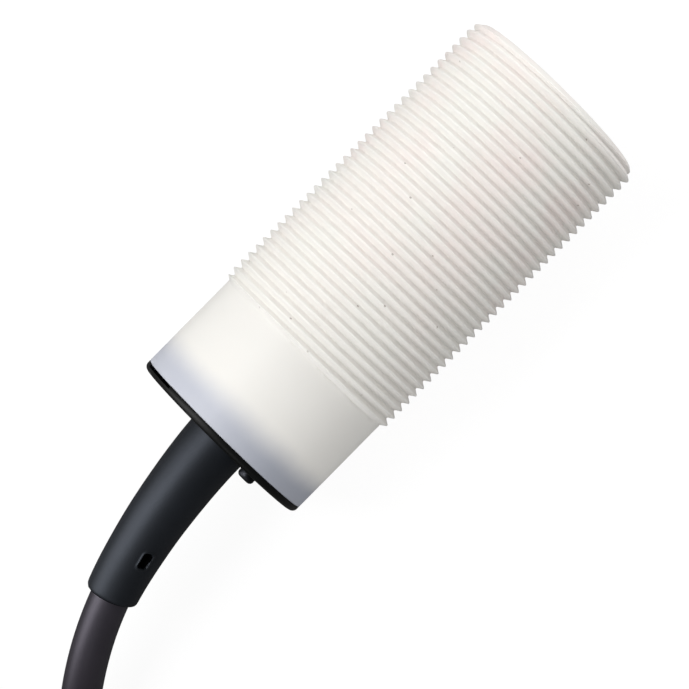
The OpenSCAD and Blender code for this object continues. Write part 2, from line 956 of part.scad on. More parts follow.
// Ceramic plate that closes the trimmer's underside, with a resistive and a collector track
module resistive_element() {
    track_inset = 0.5;
    color(alumina_colour)
        board_frame()
            union() {
                block(
                    board_top, board_top + element_t, cavity_w - 2 * seat_gap,
                    cavity_front + seat_gap, cavity_back - seat_gap
                );
                for (side = [-1, 1])
                    block(
                        board_top + element_t, board_top + element_t + track_t, track_w,
                        cavity_front + track_inset, cavity_back - track_inset, side * track_side
                    );
            }
}

module trimmer_pins() {
    color(metal_colour)
        board_frame()
            for (depth = trimmer_pin_depths)
                board_hole(board_bottom - trimmer_pin_below, board_top, trimmer_pin_d, depth);
}

// Screw: pivot, lead screw, collar, neck through the seal and the cap, slotted head
module adjusting_screw() {
    head_gap = 0.1;
    shoulder = 0.1;
    head_front = plate_back + head_gap;
    head_back = plate_back + head_h;
    color(metal_colour)
        board_frame()
            translate([adjuster_offset, 0, 0])
                difference() {
                    rotate_extrude($fn = small_fn)
                        polygon([
                            [0, pivot_depth],
                            [pivot_d / 2, pivot_depth],
                            [pivot_d / 2, cavity_front + shoulder],
                            [shaft_d / 2, cavity_front + shoulder],
                            [shaft_d / 2, collar_front],
                            [collar_d / 2, collar_front],
                            [collar_d / 2, collar_back],
                            [shaft_d / 2, collar_back],
                            [shaft_d / 2, head_front],
                            [head_d / 2, head_front],
                            [head_d / 2, head_back - head_bevel],
                            [head_d / 2 - head_bevel, head_back],
                            [0, head_back]
                        ]);
                    translate([-head_d, -slot_w / 2, head_back - slot_depth])
                        cube([2 * head_d, slot_w, slot_depth + past]);
                }
}

module adjuster_seal() {
    squeeze = 0.02;
    color(black_colour)
        board_frame()
            translate([adjuster_offset, 0, seal_depth])
                rotate_extrude($fn = small_fn)
                    translate([shaft_d / 2 + run_gap + seal_cord_d / 2, 0])
                        circle(d = seal_cord_d - squeeze, $fn = 24);
}

// Nut that the screw drives along the case
module wiper_carriage() {
    color(carriage_colour)
        board_frame()
            difference() {
                block(
                    adjuster_offset - carriage_lift,
                    trimmer_top - trimmer_wall - 2 * run_gap,
                    cavity_w - 4 * run_gap,
                    carriage_mid - carriage_len / 2, carriage_mid + carriage_len / 2
                );
                screw_hole(
                    carriage_mid - carriage_len, carriage_mid + carriage_len,
                    shaft_d + 2 * run_gap
                );
            }
}

// Sprung strips under the carriage: a flat foot on the carriage and a bow down to each track
module wiper_contact() {
    foot = 1.2;
    leg = 0.4;
    tip = 0.2;
    lift = adjuster_offset - carriage_lift;
    track = board_top + element_t + track_t + wiper_gap;
    knee = lift - wiper_t - (lift - wiper_t - track) / 10;
    color(brass_colour)
        board_frame()
            for (side = [-1, 1])
                translate([0, side * track_side - wiper_w / 2, carriage_mid])
                    rotate([-90, 0, 0])
                        linear_extrude(wiper_w)
                            polygon([
                                [lift, foot],
                                [lift, -foot],
                                [lift - wiper_t, -foot],
                                [lift - wiper_t, leg],
                                [track + wiper_t, tip - wiper_t / 3],
                                [track + wiper_t, wiper_t / 3 - tip],
                                [track, -tip],
                                [track, tip],
                                [knee, leg + 2 * wiper_t],
                                [lift - wiper_t, foot]
                            ]);
}

// Crimped ring on the jacket, against the relief's shoulder
module cable_clamp() {
    color(metal_colour)
        behind_face(clamp_depth)
            difference() {
                cylinder(h = clamp_len, r = clamp_r);
                translate([0, 0, -past])
                    cylinder(h = clamp_len + 2 * past, r = entry_r);
            }
}

// Core from the jacket's end up to its hole in the main board; side is -1, 0 or 1
module inner_core(side) {
    hole_side = -side * core_hole_pitch;
    start_side = -side * core_pitch;
    route = [
        [-jacket_end, start_side, 0],
        [-jacket_end + 2.5, start_side, 0],
        [-jacket_end + 5, lerp(start_side, hole_side, 0.3), 0.6],
        [-core_hole_depth - 2, lerp(start_side, hole_side, 0.9), 1.4],
        [-core_hole_depth - 0.3, hole_side, 2.4],
        [-core_hole_depth, hole_side, board_bottom + board_t / 2]
    ];
    rotate([adjuster_angle, 0, 0])
        cord(route, core_d, 8);
}

module inner_core_brown() {
    color(brown_colour)
        inner_core(-1);
}

module inner_core_black() {
    color(black_colour)
        inner_core(0);
}

module inner_core_blue() {
    color(blue_colour)
        inner_core(1);
}

barrel();
rear_cap();
strain_relief();
cable_lead();
cable_coil();
cable_tail();
tail_core_brown();
tail_core_blue();
tail_core_black();
wire_ferrules();
sensing_electrode();
guard_ring();
electrode_board();
shield_sleeve();
link_pins();
main_board();
potting_compound();
oscillator_chip();
comparator_chip();
voltage_regulator();
output_transistor();
protection_diode();
filter_capacitor();
ceramic_capacitors();
chip_resistors();
status_led();
light_guide();
trimmer_case();
resistive_element();
trimmer_pins();
adjusting_screw();
adjuster_seal();
wiper_carriage();
wiper_contact();
cable_clamp();
inner_core_brown();
inner_core_blue();
inner_core_black();
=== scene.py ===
"""Cylindrical capacitive proximity sensor with a moulded cable, dressed for its picture.

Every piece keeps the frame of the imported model: +X runs out of the sensing face, +Z is up, and the
origin is the centre of the sensing face. Sizes are in millimetres in the classes and are turned to
metres where a mesh is made.
"""

import logging
import math
from dataclasses import dataclass, field
from enum import Enum
from typing import Sequence

import bmesh
import bpy
import numpy as np
from mathutils import Matrix

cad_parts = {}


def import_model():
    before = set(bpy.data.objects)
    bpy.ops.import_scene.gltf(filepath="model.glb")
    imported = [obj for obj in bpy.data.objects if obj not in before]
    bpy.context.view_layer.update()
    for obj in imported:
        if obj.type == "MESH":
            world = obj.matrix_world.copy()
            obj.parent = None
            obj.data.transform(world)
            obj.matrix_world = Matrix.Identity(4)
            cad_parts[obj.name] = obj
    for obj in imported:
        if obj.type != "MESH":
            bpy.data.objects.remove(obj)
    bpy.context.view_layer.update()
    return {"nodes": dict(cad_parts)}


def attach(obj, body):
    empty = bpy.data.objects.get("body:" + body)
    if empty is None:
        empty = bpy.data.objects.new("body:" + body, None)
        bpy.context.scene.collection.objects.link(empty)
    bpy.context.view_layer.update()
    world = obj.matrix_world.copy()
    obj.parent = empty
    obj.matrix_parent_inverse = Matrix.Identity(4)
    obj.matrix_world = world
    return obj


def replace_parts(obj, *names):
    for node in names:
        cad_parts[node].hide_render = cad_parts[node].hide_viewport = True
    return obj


MM = 0.001
FLOOR_Z = -16.0
# Rear face of the cap, from which the cable's route is measured
CAP_BACK = -69.55
# The main board's turn about the barrel's axis
BOARD_ANGLE = math.radians(50)
# Radius in millimetres of the ring that closes the middle of a turned face
HUB = 0.001
# How many sides small turned shapes have
SMALL_SIDES = 64
# Angles in degrees above which an edge of a cut piece is rounded, and stays sharp
ROUNDED_FROM, SHARP_FROM = 50, 32
# How far in millimetres a cutter reaches past what it cuts
CLEAR = 1

# Node kinds that several trees use
MATH = "ShaderNodeMath"
MAP_RANGE = "ShaderNodeMapRange"
MIX = "ShaderNodeMix"
NOISE = "ShaderNodeTexNoise"

log = logging.getLogger("sensor")


# Small tools


def linear(colour: str) -> tuple[float, ...]:
    """Turn an sRGB hex colour to linear values.

    Args:
        colour: The colour as "#rrggbb".

    Returns:
        Linear red, green and blue, and an alpha of 1.
    """
    parts = [int(colour[i : i + 2], 16) / 255 for i in (1, 3, 5)]
    return (*[c / 12.92 if c <= 0.04045 else ((c + 0.055) / 1.055) ** 2.4 for c in parts], 1.0)


def add_node(
    tree: bpy.types.NodeTree, kind: str, inputs: dict | None = None, **settings: object
) -> bpy.types.Node:
    """Add a node with its settings and links.

    Args:
        tree: The tree that the node goes in.
        kind: The node's type name.
        inputs: Socket name or number, and the value that it takes, or the socket that it is linked
            to, or the node whose first result it is linked to.
        **settings: The node's own settings.

    Returns:
        The new node.
    """
    made = tree.nodes.new(kind)
    for name, value in settings.items():
        setattr(made, name, value)
    for key, value in (inputs or {}).items():
        if isinstance(value, bpy.types.Node):
            value = value.outputs[0]
        if isinstance(value, bpy.types.NodeSocket):
            tree.links.new(value, made.inputs[key])
        else:
            made.inputs[key].default_value = value
    return made


def spline(points: Sequence[Sequence[float]], step: float) -> np.ndarray:
    """Draw a smooth curve through points and space it evenly.

    Args:
        points: The points, in order.
        step: About how far apart the points of the result are.

    Returns:
        Points along a natural cubic spline.
    """
    p = np.array(points, float)
    t = run_along(p)
    h, n = np.diff(t), len(p)
    system, right = np.eye(n), np.zeros_like(p)
    for i in range(1, n - 1):
        system[i, i - 1 : i + 2] = h[i - 1], 2 * (h[i - 1] + h[i]), h[i]
        right[i] = 6 * ((p[i + 1] - p[i]) / h[i] - (p[i] - p[i - 1]) / h[i - 1])
    m = np.linalg.solve(system, right)
    u = np.linspace(0, t[-1], int(t[-1] / step * 4) + 2)
    k = np.clip(np.searchsorted(t, u, side="right") - 1, 0, n - 2)
    a, b, hk = ((t[k + 1] - u) / h[k])[:, None], ((u - t[k]) / h[k])[:, None], h[k][:, None]
    fine = a * p[k] + b * p[k + 1] + ((a**3 - a) * m[k] + (b**3 - b) * m[k + 1]) * hk**2 / 6
    return spaced(fine, step)


def run_along(line: np.ndarray) -> np.ndarray:
    """Distance of each of a line's points from its start, along the line."""
    return np.r_[0, np.cumsum(np.linalg.norm(np.diff(line, axis=0), axis=1))]


def at_runs(values: np.ndarray, run: np.ndarray, wanted: np.ndarray) -> np.ndarray:
    """Vectors between those of a line's points, at the wanted distances along the line."""
    return np.column_stack([np.interp(wanted, run, values[:, i]) for i in range(3)])


def spaced(line: np.ndarray, step: float) -> np.ndarray:
    """Space a line's points evenly.

    Args:
        line: The line.
        step: About how far apart the points of the result are.

    Returns:
        The new points.
    """
    run = run_along(line)
    even = np.linspace(0, run[-1], max(2, round(run[-1] / step) + 1))
    return at_runs(line, run, even)


def length_of(line: np.ndarray) -> float:
    """Length of a line of points."""
    return float(run_along(line)[-1])


def behind_cap(points: Sequence[Sequence[float]]) -> np.ndarray:
    """Move points that are given from the cap's rear face to the row frame."""
    return np.array(points, float) + np.array([CAP_BACK, 0, 0])


def board_point(depth: float, height: float, side: float) -> tuple[float, float, float]:
    """Turn a place in the main board's frame to the row frame.

    Args:
        depth: Distance behind the sensing face.
        height: Height above the barrel's axis, square to the board.
        side: Offset across the board.

    Returns:
        The place in millimetres.
    """
    c, s = math.cos(BOARD_ANGLE), math.sin(BOARD_ANGLE)
    return (-depth, side * c - height * s, side * s + height * c)


def ring_faces(rings: int, sides: int, first: int = 0) -> list[tuple[int, ...]]:
    """Faces that join equal closed rings in order.

    Args:
        rings: How many rings there are.
        sides: How many points each ring has.
        first: Number of the first ring's first point.

    Returns:
        Faces with four corners.
    """
    i, k = np.meshgrid(np.arange(rings - 1), np.arange(sides), indexing="ij")
    a, b = first + i * sides + k, first + i * sides + (k + 1) % sides
    return [tuple(f) for f in np.stack([a, b, b + sides, a + sides], -1).reshape(-1, 4).tolist()]


def turned(profile: Sequence[tuple[float, float]], sides: int) -> np.ndarray:
    """Points of a shape turned about the X axis.

    Args:
        profile: Pairs of a place along X and a radius.
        sides: How many points each ring has.

    Returns:
        The rings' points in order.
    """
    turn = np.arange(sides) * 2 * math.pi / sides
    x, r = np.array(profile, float).T
    return np.stack(
        [np.repeat(x, sides), np.outer(r, np.cos(turn)).ravel(), np.outer(r, np.sin(turn)).ravel()],
        -1,
    )


def mesh_piece(
    name: str,
    points: np.ndarray,
    faces: Sequence[Sequence[int]],
    smooth: float = 35.0,
    merge: float = 1e-6,
) -> bpy.types.Object:
    """Make a mesh object that has its place in its mesh.

    Args:
        name: The piece's name.
        points: Its points in millimetres.
        faces: Its faces, as point numbers.
        smooth: Angle in degrees above which an edge stays sharp.
        merge: Distance in metres within which points are joined.

    Returns:
        The object, in the scene.
    """
    mesh = bpy.data.meshes.new(name)
    mesh.from_pydata((np.asarray(points) * MM).tolist(), [], [list(f) for f in faces])
    work = bmesh.new()
    work.from_mesh(mesh)
    bmesh.ops.remove_doubles(work, verts=work.verts, dist=merge)
    bmesh.ops.dissolve_degenerate(work, edges=work.edges, dist=merge)
    bmesh.ops.recalc_face_normals(work, faces=work.faces)
    work.to_mesh(mesh)
    work.free()
    mesh.shade_smooth()
    mesh.set_sharp_from_angle(angle=math.radians(smooth))
    made = bpy.data.objects.new(name, mesh)
    bpy.context.scene.collection.objects.link(made)
    return made


def turned_piece(
    name: str, profile: Sequence[tuple[float, float]], sides: int, centre: tuple = (0, 0, 0)
) -> bpy.types.Object:
    """Make a piece turned about a line along X.

    Args:
        name: The piece's name.
        profile: Pairs of a place along X and a radius, from one end of the axis to the other.
        sides: How many sides it has.
        centre: A point of the line, in millimetres.

    Returns:
        The piece.
    """
    points = turned(profile, sides) + np.array(centre)
    return mesh_piece(name, points, ring_faces(len(profile), sides))


def dress(piece: bpy.types.Object, *materials: bpy.types.Material) -> None:
    """Give a piece its materials, in place of those that it has.

    Args:
        piece: The piece.
        *materials: The materials, the first of which is on every face.
    """
    piece.data.materials.clear()
    for material in materials:
        piece.data.materials.append(material)


def face_centres(piece: bpy.types.Object) -> np.ndarray:
    """Find the middles of a piece's faces.

    Args:
        piece: The piece.

    Returns:
        A place in millimetres for each face.
    """
    flat = np.zeros(len(piece.data.polygons) * 3)
    piece.data.polygons.foreach_get("center", flat)
    return flat.reshape(-1, 3) / MM


def paint_faces(piece: bpy.types.Object, chosen: np.ndarray) -> None:
    """Give the chosen faces of a piece its second material and the others its first."""
    piece.data.polygons.foreach_set("material_index", chosen.astype(np.int32))


def plain_mesh(piece: bpy.types.Object) -> bpy.types.Object:
    """Turn a piece with live modifiers to a plain mesh, and take its modifiers off.

    Args:
        piece: The piece.

    Returns:
        The same piece.
    """
    seen = piece.evaluated_get(bpy.context.evaluated_depsgraph_get())
    mesh = bpy.data.meshes.new_from_object(seen)
    piece.modifiers.clear()
    piece.data = mesh
    return piece


def cut(piece: bpy.types.Object, tools: Sequence[bpy.types.Object], edge: float) -> None:
    """Cut tools out of a piece and round its sharp edges a little.

    Args:
        piece: The piece that is cut.
        tools: Closed shapes, which are deleted afterwards.
        edge: Width of the rounding in millimetres.
    """
    for tool in tools:
        modifier = piece.modifiers.new("cut", "BOOLEAN")
        modifier.object, modifier.operation, modifier.solver = tool, "DIFFERENCE", "EXACT"
    plain_mesh(piece)
    for tool in tools:
        bpy.data.objects.remove(tool)
    bevel = piece.modifiers.new("edge", "BEVEL")
    bevel.width, bevel.segments, bevel.limit_method = edge * MM, 2, "ANGLE"
    bevel.angle_limit = math.radians(ROUNDED_FROM)
    plain_mesh(piece)
    piece.data.shade_smooth()
    piece.data.set_sharp_from_angle(angle=math.radians(SHARP_FROM))


def box_tool(corners: Sequence[tuple[float, float, float]]) -> bpy.types.Object:
    """A closed box from its eight corners, the near four and then the far four, in millimetres."""
    sides = [(0, 1, 2, 3), (7, 6, 5, 4), (0, 4, 5, 1), (1, 5, 6, 2), (2, 6, 7, 3), (3, 7, 4, 0)]
    return mesh_piece("cutter", np.array(corners), sides)


# Finishes


@dataclass(frozen=True)
class Finish:
    """A material as a principled surface.

    Attributes:
        name: What the real material is and how its surface was made.
        colour: Its sRGB colour.
        roughness: How rough the surface is.
        ior: Its index of refraction.
        metallic: 1 for a metal.
        shade: A second sRGB colour that a noise mixes in, or empty.
        grain: Size of that noise's patches in millimetres.
        spread: Noise values at which a patch begins and is full.
        bump: Height of the surface's texture in millimetres.
        bump_grain: Size of that texture's grains in millimetres.
        clear: Share of the light that passes through.
        glow: Share of the light that scatters under the surface.
        coat: Strength of a clear coat.
        gloss: Level of the mirror-like reflection, 0.5 for a clean surface and less for a dull one.
        tint: sRGB colour of that reflection.
    """

    name: str
    colour: str
    roughness: float = 0.5
    ior: float = 1.5
    metallic: float = 0.0
    shade: str = ""
    grain: float = 4.0
    bump: float = 0.0
    bump_grain: float = 0.3
    clear: float = 0.0
    glow: float = 0.0
    coat: float = 0.0
    gloss: float = 0.5
    tint: str = "#ffffff"
    spread: tuple[float, float] = (0.35, 0.65)

    def make(self) -> bpy.types.Material:
        """Build the material, or find the one that was built before.

        Returns:
            The material.
        """
        made = bpy.data.materials.get(self.name)
        if made:
            return made
        made = bpy.data.materials.new(self.name)
        made.use_nodes = True
        tree = made.node_tree
        shader = tree.nodes["Principled BSDF"]
        values = {
            "Base Color": linear(self.colour),
            "Roughness": self.roughness,
            "Metallic": self.metallic,
            "IOR": 1.5 if self.metallic else self.ior,
            "Transmission Weight": self.clear,
            "Coat Weight": self.coat,
            "Subsurface Weight": self.glow,
            "Subsurface Radius": (1.0, 0.98, 0.95),
            "Subsurface Scale": 0.5 * MM,
            "Specular IOR Level": self.gloss,
            "Specular Tint": linear(self.tint),
        }
        for key, value in values.items():
            shader.inputs[key].default_value = value
        place = add_node(tree, "ShaderNodeTexCoord").outputs["Object"]
        if self.shade:
            noise = add_node(tree, NOISE, {"Vector": place, **self.patches})
            start, end = self.spread
            share = add_node(tree, MAP_RANGE, {"Value": noise, "From Min": start, "From Max": end})
            inputs = {0: share, 6: linear(self.colour), 7: linear(self.shade)}
            mixed = add_node(tree, MIX, inputs, data_type="RGBA")
            tree.links.new(mixed.outputs[2], shader.inputs["Base Color"])
        if self.bump:
            grains = add_node(tree, NOISE, {"Vector": place, "Scale": 1 / (self.bump_grain * MM)})
            inputs = {"Height": grains, "Distance": self.bump * MM, "Strength": 1.0}
            relief = add_node(tree, "ShaderNodeBump", inputs)
            tree.links.new(relief.outputs["Normal"], shader.inputs["Normal"])
        self.refine(tree, shader, place)
        return made

    @property
    def patches(self) -> dict[str, float]:
        """Inputs of the noise that lays out the patches."""
        return {"Scale": 1 / (self.grain * MM), "Detail": 3.0, "Roughness": 0.6}

    def refine(
        self, tree: bpy.types.NodeTree, shader: bpy.types.Node, place: bpy.types.NodeSocket
    ) -> None:
        """Add what only this material has; a plain finish adds nothing.

        Args:
            tree: The material's tree.
            shader: Its principled shader.
            place: The object's own coordinates.
        """


@dataclass(frozen=True)
class BarrelFinish(Finish):
    """Turned white fluoropolymer: waxy and slightly translucent, with faint warm patches, pale pits
    and a painted shade band, bluish grey, where the dark cap's spigot shadows the wall from inside.

    Attributes:
        warm: sRGB colour of the warm patches.
        band: sRGB colour of the painted shade where the spigot shows through, on the +Y side.
        shade_band_low_side: The same painted shade on the -Y side, darker as less light gets
            through.
        pit: sRGB colour of the small pits.
        warm_ends: Where the warm patches begin and where they are full, in millimetres along X.
        pit_gap: About how far apart the pits are, in millimetres. Real ones are finer and closer.
        pit_size: Where a pit begins and where it is full, as shares of that gap.
        pit_ends: Where the pits begin and where they are full, in millimetres along X. Only the
            thread has them.
        shade_band_ends: Where the painted shade band begins and where it is full, in mm along X.
        wander: How far the band's edge strays, in millimetres.
        shade_band_side_ends: Where the painted shade turns to its darker -Y colour, in mm along Y.
    """

    warm: str = "#f7efeb"
    band: str = "#cacdd7"
    shade_band_low_side: str = "#acb0bb"
    pit: str = "#b7aea8"
    warm_ends: tuple[float, float] = (-52.0, -22.0)
    pit_gap: float = 3.4
    pit_size: tuple[float, float] = (0.065, 0.04)
    pit_ends: tuple[float, float] = (-52.5, -50.5)
    shade_band_ends: tuple[float, float] = (-61.5, -66.4)
    wander: float = 0.5
    shade_band_side_ends: tuple[float, float] = (3.0, -8.5)

    def refine(
        self, tree: bpy.types.NodeTree, shader: bpy.types.Node, place: bpy.types.NodeSocket
    ) -> None:
        """Add the patches, the pits and the painted shade band.

        Args:
            tree: The material's tree.
            shader: Its principled shader.
            place: The object's own coordinates.
        """
        x, y, _ = add_node(tree, "ShaderNodeSeparateXYZ", {0: place}).outputs
        noise = add_node(tree, NOISE, {"Vector": place, **self.patches})
        scale = 1 / (self.pit_gap * MM)
        cells = add_node(tree, "ShaderNodeTexVoronoi", {"Vector": place, "Scale": scale})
        # Each share is 0 at its first end and 1 at its second
        shares = {}
        for name, value, unit, (start, end) in (
            ("patches", noise, 1.0, self.spread),
            ("warm end", x, MM, self.warm_ends),
            ("pits", cells, 1.0, self.pit_size),
            ("thread", x, MM, self.pit_ends),
            ("shade band side", y, MM, self.shade_band_side_ends),
        ):
            inputs = {"Value": value, "From Min": start * unit, "From Max": end * unit}
            shares[name] = add_node(tree, MAP_RANGE, inputs)
        warmth, pits = (
            add_node(tree, MATH, {0: shares[what], 1: shares[where]}, operation="MULTIPLY")
            for what, where in (("patches", "warm end"), ("pits", "thread"))
        )
        inputs = {0: shares["patches"], 1: self.wander * MM, 2: x}
        strayed = add_node(tree, MATH, inputs, operation="MULTIPLY_ADD")
        # Painted shade: the spigot's shadow through the wall, a band darker on -Y, its edge
        # wandering
        start, end = self.shade_band_ends
        inputs = {"Value": strayed, "From Min": start * MM, "From Max": end * MM}
        shade_band_share = add_node(tree, MAP_RANGE, inputs, interpolation_type="SMOOTHSTEP")
        inputs = {0: shares["shade band side"], 6: linear(self.band), 7: linear(self.shade_band_low_side)}
        band = add_node(tree, MIX, inputs, data_type="RGBA").outputs[2]
        colour = linear(self.colour)
        for share, other in (
            (warmth, linear(self.warm)), (pits, linear(self.pit)), (shade_band_share, band),
        ):
            inputs = {0: share, 6: colour, 7: other}
            colour = add_node(tree, MIX, inputs, data_type="RGBA").outputs[2]
        tree.links.new(colour, shader.inputs["Base Color"])


class Finishes(Enum):
    """The object's finishes, by what each surface really is, and one painted shade for dark
    recesses.
    """

    # Turned fluoropolymer: white, waxy, with a soft broad gloss
    BARREL = BarrelFinish(
        "turned_fluoropolymer", "#f5f3ee", 0.45, 1.38, grain=13, spread=(0.4, 0.65), glow=0.2,
        bump=0.02, bump_grain=1.6,
    )
    # Injection-moulded ABS, dyed through: near-black with a fine spark-eroded texture
    CAP = Finish(
        "moulded_black_abs", "#090a0a", 0.45, 1.53, bump=0.006, bump_grain=0.25, gloss=0.18,
    )
    # Moulded soft PVC: dark slate grey with a broad, dull, bluish sheen
    RELIEF = Finish(
        "moulded_grey_pvc", "#14171b", 0.52, 1.53, shade="#101316", grain=5,
        bump=0.008, bump_grain=0.35, gloss=0.5, tint="#dbe4f6",
    )
    # Painted shade: near-black and glossless, put in the holes, slots and mouth of the dark
    # mouldings
    PAINTED_SHADE = Finish("unlit_moulding", "#040405", 0.9, 1.5, gloss=0.0)
    # Extruded soft PVC: smooth, purplish grey, a little glossier than the relief
    JACKET = Finish(
        "extruded_pvc_jacket", "#2e2b31", 0.44, 1.53, shade="#29272d", grain=8,
        bump=0.004, bump_grain=0.5, gloss=0.6, tint="#ebe4f6",
    )
    # Extruded PVC insulation of the cores, in the three usual colours
    BROWN = Finish("extruded_pvc_brown", "#6a3f24", 0.38, 1.53, shade="#62391f", grain=3)
    BLUE = Finish("extruded_pvc_blue", "#2b59a0", 0.38, 1.53, shade="#275194", grain=3)
    BLACK = Finish("extruded_pvc_black", "#1b1b1d", 0.38, 1.53, shade="#202023", grain=3)
    # Tinned copper: bright grey metal, lightly scratched
    TINNED = Finish(
        "tinned_copper", "#c9c8c3", 0.3, metallic=1.0, shade="#b9b8b2", grain=1,
        bump=0.003, bump_grain=0.2,
    )
    # Rolled brass sheet: yellow metal, slightly tarnished
    BRASS = Finish("rolled_brass", "#c9a356", 0.28, metallic=1.0, shade="#b48f49", grain=3)
    # Glass-fibre laminate under green solder mask: even, half gloss
    LAMINATE = Finish(
        "masked_laminate", "#1f5a3a", 0.35, 1.52, shade="#23633f", grain=0.6, coat=0.4,
    )
    # Cast two-part resin: dark, level, glossy
    RESIN = Finish("cast_resin", "#2b2d33", 0.22, 1.55, shade="#303239", grain=6)
    # Transfer-moulded epoxy of chips: black, finely matt
    EPOXY = Finish("moulded_chip_epoxy", "#232326", 0.62, 1.55, bump=0.006, bump_grain=0.12)
    # Drawn aluminium can: bright, faintly brushed
    CAN = Finish("drawn_aluminium", "#d3d5d6", 0.25, metallic=1.0, shade="#c4c6c8", grain=1.2)
    # Sintered ceramic of small capacitors: tan, matt
    TAN_CERAMIC = Finish("sintered_ceramic", "#a98657", 0.55, 1.6, shade="#9d7a4d", grain=0.5)
    # Glazed overcoat of chip resistors: black glass on ceramic
    GLAZE = Finish("glazed_resistor", "#202126", 0.25, 1.5, shade="#2a2b30", grain=0.4)
    # Cast clear epoxy of the lamp, tinted yellow
    LAMP = Finish("cast_lamp_epoxy", "#e6c65a", 0.12, 1.54, clear=0.6)
    # Moulded clear polycarbonate of the light guide: glassy, a little dull on its end
    GUIDE = Finish("moulded_polycarbonate", "#eef0ea", 0.14, 1.585, clear=0.85)
    # Moulded glass-filled polyester of the trimmer: blue, dull
    TRIMMER = Finish("moulded_blue_polyester", "#2f5f9c", 0.5, 1.57, shade="#2b588f", grain=2)
    # Fired alumina with printed tracks: off-white, matt
    ALUMINA = Finish("fired_alumina", "#dad6ce", 0.5, 1.76, shade="#cfcbc2", grain=0.8)
    # Blackened steel of the adjusting screw: dark metal with a dull sheen
    SCREW = Finish(
        "blackened_steel", "#34353a", 0.42, metallic=1.0, shade="#27282b", grain=0.6,
        bump=0.004, bump_grain=0.15,
    )
    # Moulded nitrile rubber of the seal: black, matt
    RUBBER = Finish("moulded_nitrile", "#18181a", 0.7, 1.52, bump=0.004, bump_grain=0.2)
    # Moulded acetal of the carriage: cream, slippery looking
    ACETAL = Finish("moulded_acetal", "#dcd8c9", 0.35, 1.48, shade="#d5d0c0", grain=1.5)
    # Extruded PVC over the wire of the coil's tie: black, half gloss
    TIE = Finish("coated_tie_wire", "#202124", 0.4, 1.53)

    def make(self) -> bpy.types.Material:
        """The material of this finish."""
        return self.value.make()


# Geometry node trees


class Socket(Enum):
    """Kinds of input that the node trees have."""

    GEOMETRY = "NodeSocketGeometry"
    FLOAT = "NodeSocketFloat"
    INT = "NodeSocketInt"
    MATERIAL = "NodeSocketMaterial"


def new_tree(name: str, inputs: dict[str, Socket]) -> bpy.types.NodeTree:
    """Start a geometry node tree with named inputs.

    Args:
        name: The tree's name.
        inputs: Each input's name and kind.

    Returns:
        The tree, with one geometry output.
    """
    tree = bpy.data.node_groups.new(name, "GeometryNodeTree")
    for label, kind in inputs.items():
        tree.interface.new_socket(label, in_out="INPUT", socket_type=kind.value)
    tree.interface.new_socket("Piece", in_out="OUTPUT", socket_type=Socket.GEOMETRY.value)
    return tree


def end_tree(
    tree: bpy.types.NodeTree, result: bpy.types.Node, material: bpy.types.NodeSocket
) -> None:
    """End a tree with real geometry that has its material.

    Args:
        tree: The tree.
        result: The node that gives what it has made.
        material: The tree's material input.
    """
    smooth = add_node(tree, "GeometryNodeSetShadeSmooth", {"Geometry": result})
    real = add_node(tree, "GeometryNodeRealizeInstances", {"Geometry": smooth})
    inputs = {"Geometry": real, "Material": material}
    add_node(tree, "NodeGroupOutput", {"Piece": add_node(tree, "GeometryNodeSetMaterial", inputs)})


def sweep_tree() -> bpy.types.NodeTree:
    """Build the tree that sweeps a round section along lines, or find it.

    Returns:
        The tree, whose inputs are Line, Radius, Sides and Material.
    """
    name = "round_section_along_line"
    if name in bpy.data.node_groups:
        return bpy.data.node_groups[name]
    inputs = {"Line": Socket.GEOMETRY, "Radius": Socket.FLOAT, "Sides": Socket.INT}
    tree = new_tree(name, {**inputs, "Material": Socket.MATERIAL})
    source = add_node(tree, "NodeGroupInput").outputs
    line = add_node(tree, "GeometryNodeMeshToCurve", {"Mesh": source["Line"]})
    ring = {"Resolution": source["Sides"], "Radius": source["Radius"]}
    section = add_node(tree, "GeometryNodeCurvePrimitiveCircle", ring)
    inputs = {"Curve": line, "Profile Curve": section, "Fill Caps": True}
    end_tree(tree, add_node(tree, "GeometryNodeCurveToMesh", inputs), source["Material"])
    return tree


def crimp_tree() -> bpy.types.NodeTree:
    """Build the tree that makes crimped tubes along lines, or find it.

    Returns:
        The tree, whose inputs are Line, Radius, Crimps, Depth, Rows, Sides and Material.
    """
    name = "crimped_tube_along_line"
    if name in bpy.data.node_groups:
        return bpy.data.node_groups[name]
    inputs = {"Line": Socket.GEOMETRY, "Radius": Socket.FLOAT, "Crimps": Socket.FLOAT}
    inputs |= {"Depth": Socket.FLOAT, "Rows": Socket.INT, "Sides": Socket.INT}
    tree = new_tree(name, {**inputs, "Material": Socket.MATERIAL})
    source = add_node(tree, "NodeGroupInput").outputs
    line = add_node(tree, "GeometryNodeMeshToCurve", {"Mesh": source["Line"]})
    inputs = {"Curve": line, "Count": source["Rows"]}
    fine = add_node(tree, "GeometryNodeResampleCurve", inputs)
    factor = add_node(tree, "GeometryNodeSplineParameter").outputs["Factor"]
    wave = add_node(tree, MATH, {0: factor, 1: source["Crimps"]}, operation="MULTIPLY")
    angle = add_node(tree, MATH, {0: wave, 1: 2 * math.pi}, operation="MULTIPLY")
    rise = add_node(tree, MATH, {0: angle}, operation="COSINE")
    # A crimp has steep sides and a flat floor
    share = add_node(tree, MAP_RANGE, {"Value": rise, "From Min": -0.3, "From Max": 0.6})
    deep = add_node(tree, MATH, {0: share, 1: source["Depth"]}, operation="MULTIPLY")
    scale = add_node(tree, MATH, {0: source["Radius"], 1: deep}, operation="SUBTRACT")
    ring = {"Resolution": source["Sides"], "Radius": 1.0}
    section = add_node(tree, "GeometryNodeCurvePrimitiveCircle", ring)
    inputs = {"Curve": fine, "Profile Curve": section, "Scale": scale, "Fill Caps": True}
    end_tree(tree, add_node(tree, "GeometryNodeCurveToMesh", inputs), source["Material"])
    return tree


